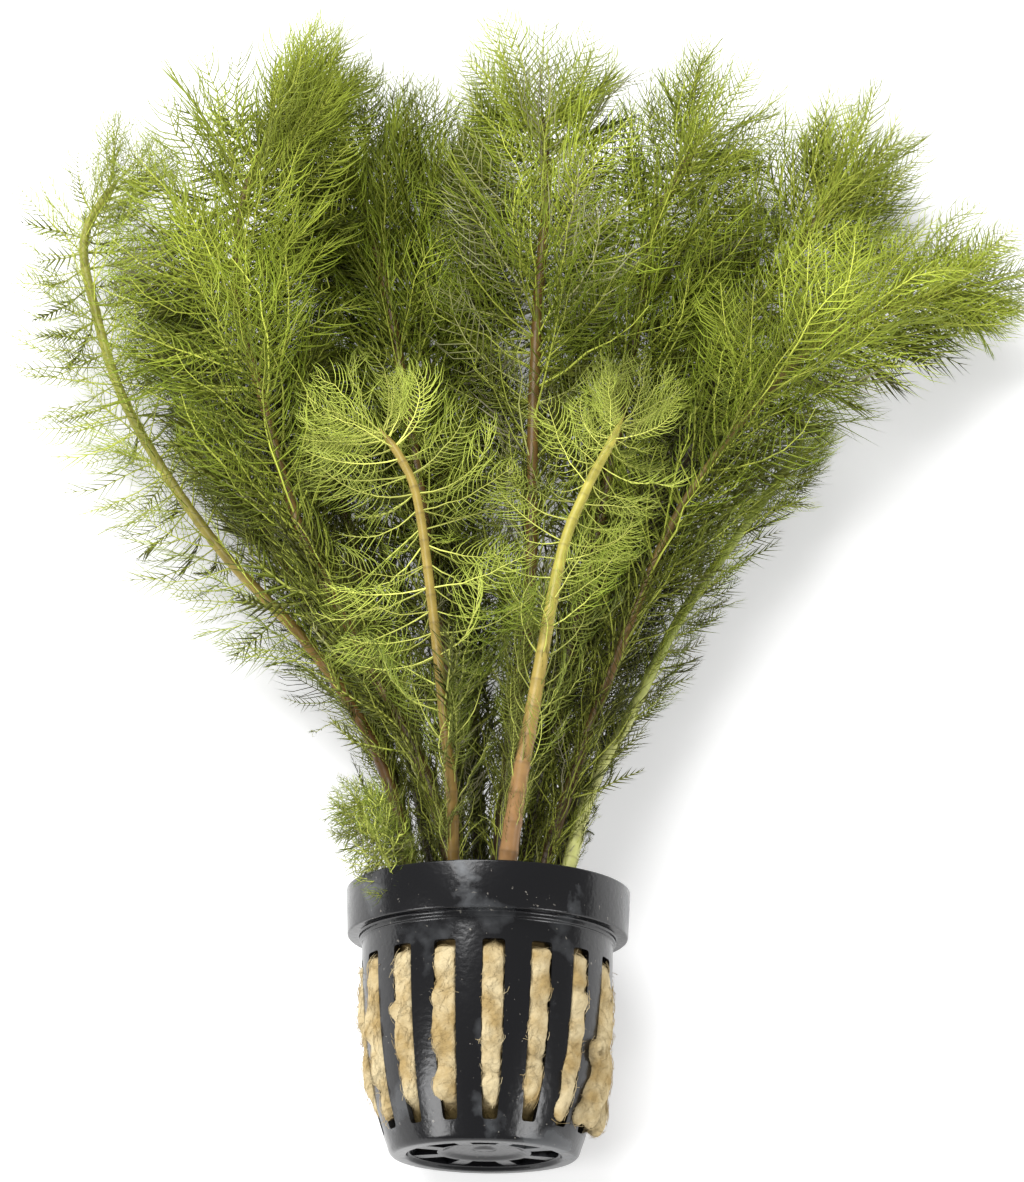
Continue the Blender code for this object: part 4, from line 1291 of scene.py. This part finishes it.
def make_shoot(name, plan, shapes, group, materials, settings):
    """One shoot, stem and leaves, in place of its solid."""
    chance = random.Random(name)
    plan = {**USUAL_SHOOT, "under": settings.leaves_under, "threads": settings.threads_at_foot,
            "spacing": settings.whorl_spacing / MM, **plan}
    stem = Stem(plan)
    rows = stem_points(stem)
    seats = leaf_seats(stem, shapes, settings, chance)
    places = world([row[0] for row in rows] + [seat["place"] for seat in seats])
    mesh = points_mesh(name, places, [(index, index + 1) for index in range(len(rows) - 1)])
    bare, none = [0.0] * len(seats), [0.0] * len(rows)
    store_values(mesh, "is_stem", "BOOLEAN", [True] * len(rows) + [False] * len(seats))
    store_values(mesh, "girth", "FLOAT", [row[1] * MM for row in rows] + bare)
    store_values(mesh, "bark", "FLOAT_COLOR", [row[2] for row in rows] + [(0.0,) * 4] * len(seats))
    store_values(mesh, "scar", "FLOAT", [row[3] for row in rows] + bare)
    for key in ("size", "youth", "tone", "dry"):
        store_values(mesh, key, "FLOAT", none + [seat[key] for seat in seats])
    for key in ("way", "face"):
        store_values(mesh, key, "FLOAT_VECTOR", [(0.0,) * 3] * len(rows) + [seat[key] for seat in seats])
    store_values(mesh, "shape", "INT", [0] * len(rows) + [seat["shape"] for seat in seats])
    tree = bpy.data.node_groups.get("Leafy shoot") or shoot_tree()
    given = {"Leaf shapes": group, "Leaf finish": materials[plan["slot"]], "Stem finish": materials["stem"]}
    piece = shaped(f"milfoil_{name}", mesh, tree, given)
    node = name if name == "low_tuft" else "shoot_" + name
    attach(piece, BODY_NAME)
    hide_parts(node)
    piece.data.calc_loop_triangles()
    print(name, len(seats), "leaves", len(piece.data.loop_triangles), "triangles")
    return piece


# Settings


class StageSettings(bpy.types.PropertyGroup):
    """The light and the floor."""

    floor_colour: bpy.props.FloatVectorProperty(
        name="Floor colour", description="Colour of the plain floor", default=(0.93, 0.93, 0.93),
        subtype="COLOR", size=3, min=0.0, max=1.0)
    sky: bpy.props.FloatProperty(
        name="Sky", description="Strength of the even light from all round", default=0.38, min=0.0)
    bounces: bpy.props.IntProperty(
        name="Bounces", description="How often light goes on from leaf to leaf", default=1, min=1, max=8)
    floor_glow: bpy.props.FloatProperty(
        name="Floor glow", description="How much the floor glows, as a light table does",
        default=0.31, min=0.0)
    side: bpy.props.FloatProperty(
        name="Side lights", description="Power of each of the two lights beside the pot", default=6.0,
        min=0.0, unit="POWER")
    key: bpy.props.FloatProperty(
        name="Key light", description="Power of the soft light from the upper left", default=27.0,
        min=0.0, unit="POWER")


class PotSettings(bpy.types.PropertyGroup):
    """The net pot and its rock wool."""

    plastic: bpy.props.FloatVectorProperty(
        name="Plastic", description="Colour of the pot's plastic", default=(0.005, 0.005, 0.006),
        subtype="COLOR", size=3, min=0.0, max=1.0)
    turn_steps: bpy.props.IntProperty(
        name="Turn steps", description="Steps round the turned pot", default=160, min=32, max=360)
    wool_grain: bpy.props.FloatProperty(
        name="Wool grain", description="Size of the smallest detail of the wool's body", default=0.00056,
        min=0.0002, unit="LENGTH")


class LeafSettings(bpy.types.PropertyGroup):
    """The feather leaves and how they sit on a stem."""

    length: bpy.props.FloatProperty(
        name="Shape length", description="Length that the leaf shapes are drawn at", default=0.022,
        min=0.005, unit="LENGTH")
    pairs: bpy.props.IntProperty(
        name="Pinna pairs", description="Pairs of pinnae on a full leaf", default=14, min=6, max=24)
    pinna_length: bpy.props.FloatProperty(
        name="Pinna length", description="Length of the longest pinna", default=0.0105,
        min=0.001, unit="LENGTH")
    pinna_angle: bpy.props.FloatProperty(
        name="Pinna angle", description="Angle at which a pinna leaves its rachis",
        default=math.radians(80), subtype="ANGLE")
    rachis_width: bpy.props.FloatProperty(
        name="Rachis width", description="Width of a rachis at its foot", default=0.00042, unit="LENGTH")
    pinna_width: bpy.props.FloatProperty(
        name="Pinna width", description="Width of a pinna at its foot", default=0.00026, unit="LENGTH")
    whorl_spacing: bpy.props.FloatProperty(
        name="Whorl spacing", description="Distance between whorls", default=0.0046, unit="LENGTH")
    leaves_per_whorl: bpy.props.IntProperty(
        name="Leaves in a whorl", description="Leaves that grow at each node", default=6, min=3, max=8)
    leaves_at_tip: bpy.props.IntProperty(
        name="Leaves at the tip", description="Leaves added round each shoot's tip",
        default=12, min=0, max=20)
    threads_at_foot: bpy.props.IntProperty(
        name="Threads at the foot", description="Old leaves added low on each shoot",
        default=20, min=0, max=40)
    leaves_under: bpy.props.IntProperty(
        name="Leaves underneath", description="Rougher leaves added below each node",
        default=3, min=0, max=8)


# Operators


WHITE = (1.0, 1.0, 1.0, 1.0)
# Each light: its place and its size (metres), and the setting that says its power
LIGHTS = {
    "key_light": ((-0.45, 0.6, 1.35), 1.0, "key"),
    "left_light": ((-0.9, -0.55, 0.55), 0.45, "side"),
    "right_light": ((0.9, -0.65, 0.6), 0.45, "side"),
}


class MILFOIL_OT_stage(bpy.types.Operator):
    """Adds the floor, the light and the camera"""

    bl_idname = "milfoil.stage"
    bl_label = "Stage"

    def execute(self, context):
        settings = context.scene.milfoil_stage
        scene = context.scene
        shape = bmesh.new()
        bmesh.ops.create_grid(shape, x_segments=1, y_segments=1, size=3.0)
        mesh = body_mesh("floor", shape)
        floor = bpy.data.objects.new("floor", mesh)
        scene.collection.objects.link(floor)
        material, graph, shader = new_material("floor_finish")
        finish(graph, shader, colour(settings.floor_colour), 0.6, 0.2)
        graph.feed(shader, {"Emission Color": WHITE, "Emission Strength": settings.floor_glow})
        material.cycles.emission_sampling = "NONE"
        mesh.materials.append(material)

        world_light = bpy.data.worlds.new("soft_sky")
        world_light.use_nodes = True
        background = world_light.node_tree.nodes["Background"]
        background.inputs["Color"].default_value = WHITE
        background.inputs["Strength"].default_value = settings.sky
        scene.world = world_light
        for name, (place, size, power) in LIGHTS.items():
            self.add_light(scene, name, place, size, getattr(settings, power))
        self.add_camera(scene)
        scene.view_settings.view_transform = "Standard"
        scene.cycles.diffuse_bounces = settings.bounces
        scene.cycles.glossy_bounces = settings.bounces
        return {"FINISHED"}

    @staticmethod
    def add_light(scene, name, place, size, power):
        light = bpy.data.lights.new(name, "AREA")
        light.size = size
        light.energy = power
        lamp = bpy.data.objects.new(name, light)
        lamp.location = place
        lamp.rotation_euler = (-Vector(place)).to_track_quat("-Z", "Y").to_euler()
        scene.collection.objects.link(lamp)

    @staticmethod
    def add_camera(scene):
        back = Vector((0.0, -math.cos(CAMERA_ELEVATION), math.sin(CAMERA_ELEVATION)))
        level = Vector((1.0, 0.0, 0.0))
        rise = back.cross(level)
        right = level * math.cos(CAMERA_ROLL) + rise * math.sin(CAMERA_ROLL)
        up = -level * math.sin(CAMERA_ROLL) + rise * math.cos(CAMERA_ROLL)
        place = Vector(world(CAMERA_TARGET)) + back * CAMERA_DISTANCE * MM
        camera = bpy.data.objects.new("camera", bpy.data.cameras.new("camera"))
        camera.data.sensor_width = SENSOR
        camera.data.lens = SENSOR * FOCAL_PIXELS / PICTURE_HEIGHT
        camera.data.clip_start = 0.01
        turned = Matrix((right, up, back)).transposed().to_4x4()
        camera.matrix_world = Matrix.Translation(place) @ turned
        scene.collection.objects.link(camera)
        scene.camera = camera


class MILFOIL_OT_shoots(bpy.types.Operator):
    """Adds every stem with its feather leaves"""

    bl_idname = "milfoil.shoots"
    bl_label = "Shoots"

    def execute(self, context):
        settings = context.scene.milfoil_leaves
        materials = {name: leaf_material(name, *colours) for name, colours in LEAF_COLOURS.items()}
        materials["stem"] = stem_material("stem")
        shapes = leaf_plans(settings)
        group = make_leaf_shapes(settings, shapes)
        for name, plan in SHOOTS.items():
            make_shoot(name, plan, shapes, group, materials, settings)
        for shape in list(group.objects):
            bpy.data.objects.remove(shape)
        bpy.data.collections.remove(group)
        return {"FINISHED"}


class MILFOIL_OT_pot(bpy.types.Operator):
    """Adds the slotted net pot"""

    bl_idname = "milfoil.pot"
    bl_label = "Net pot"

    def execute(self, context):
        settings = context.scene.milfoil_pot
        pot = make_pot(settings, plastic_material("pot_plastic", settings.plastic))
        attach(pot, BODY_NAME)
        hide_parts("pot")
        return {"FINISHED"}


class MILFOIL_OT_wool(bpy.types.Operator):
    """Adds the rock wool that bulges through the pot's slots"""

    bl_idname = "milfoil.wool"
    bl_label = "Rock wool"

    def execute(self, context):
        wool = make_wool(context.scene.milfoil_pot, wool_material("wool_fibre"))
        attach(wool, BODY_NAME)
        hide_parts("rock_wool")
        return {"FINISHED"}


class MILFOIL_PT_panel(bpy.types.Panel):
    """Lists what the plant is made of"""

    bl_label = "Water milfoil"
    bl_idname = "MILFOIL_PT_panel"
    bl_space_type = "VIEW_3D"
    bl_region_type = "UI"
    bl_category = "Milfoil"

    def draw(self, context):
        for operator in OPERATORS:
            self.layout.operator(operator.bl_idname)


OPERATORS = (MILFOIL_OT_stage, MILFOIL_OT_pot, MILFOIL_OT_wool, MILFOIL_OT_shoots)
SETTINGS = {"milfoil_stage": StageSettings, "milfoil_pot": PotSettings, "milfoil_leaves": LeafSettings}
CLASSES = (*SETTINGS.values(), *OPERATORS, MILFOIL_PT_panel)


def register():
    for entry in CLASSES:
        bpy.utils.register_class(entry)
    for name, kind in SETTINGS.items():
        setattr(bpy.types.Scene, name, bpy.props.PointerProperty(type=kind))


def unregister():
    for name in SETTINGS:
        delattr(bpy.types.Scene, name)
    for entry in reversed(CLASSES):
        bpy.utils.unregister_class(entry)


def main():
    register()
    bpy.ops.milfoil.stage()
    bpy.ops.milfoil.pot()
    bpy.ops.milfoil.wool()
    bpy.ops.milfoil.shoots()


if __name__ == "__main__":
    main()
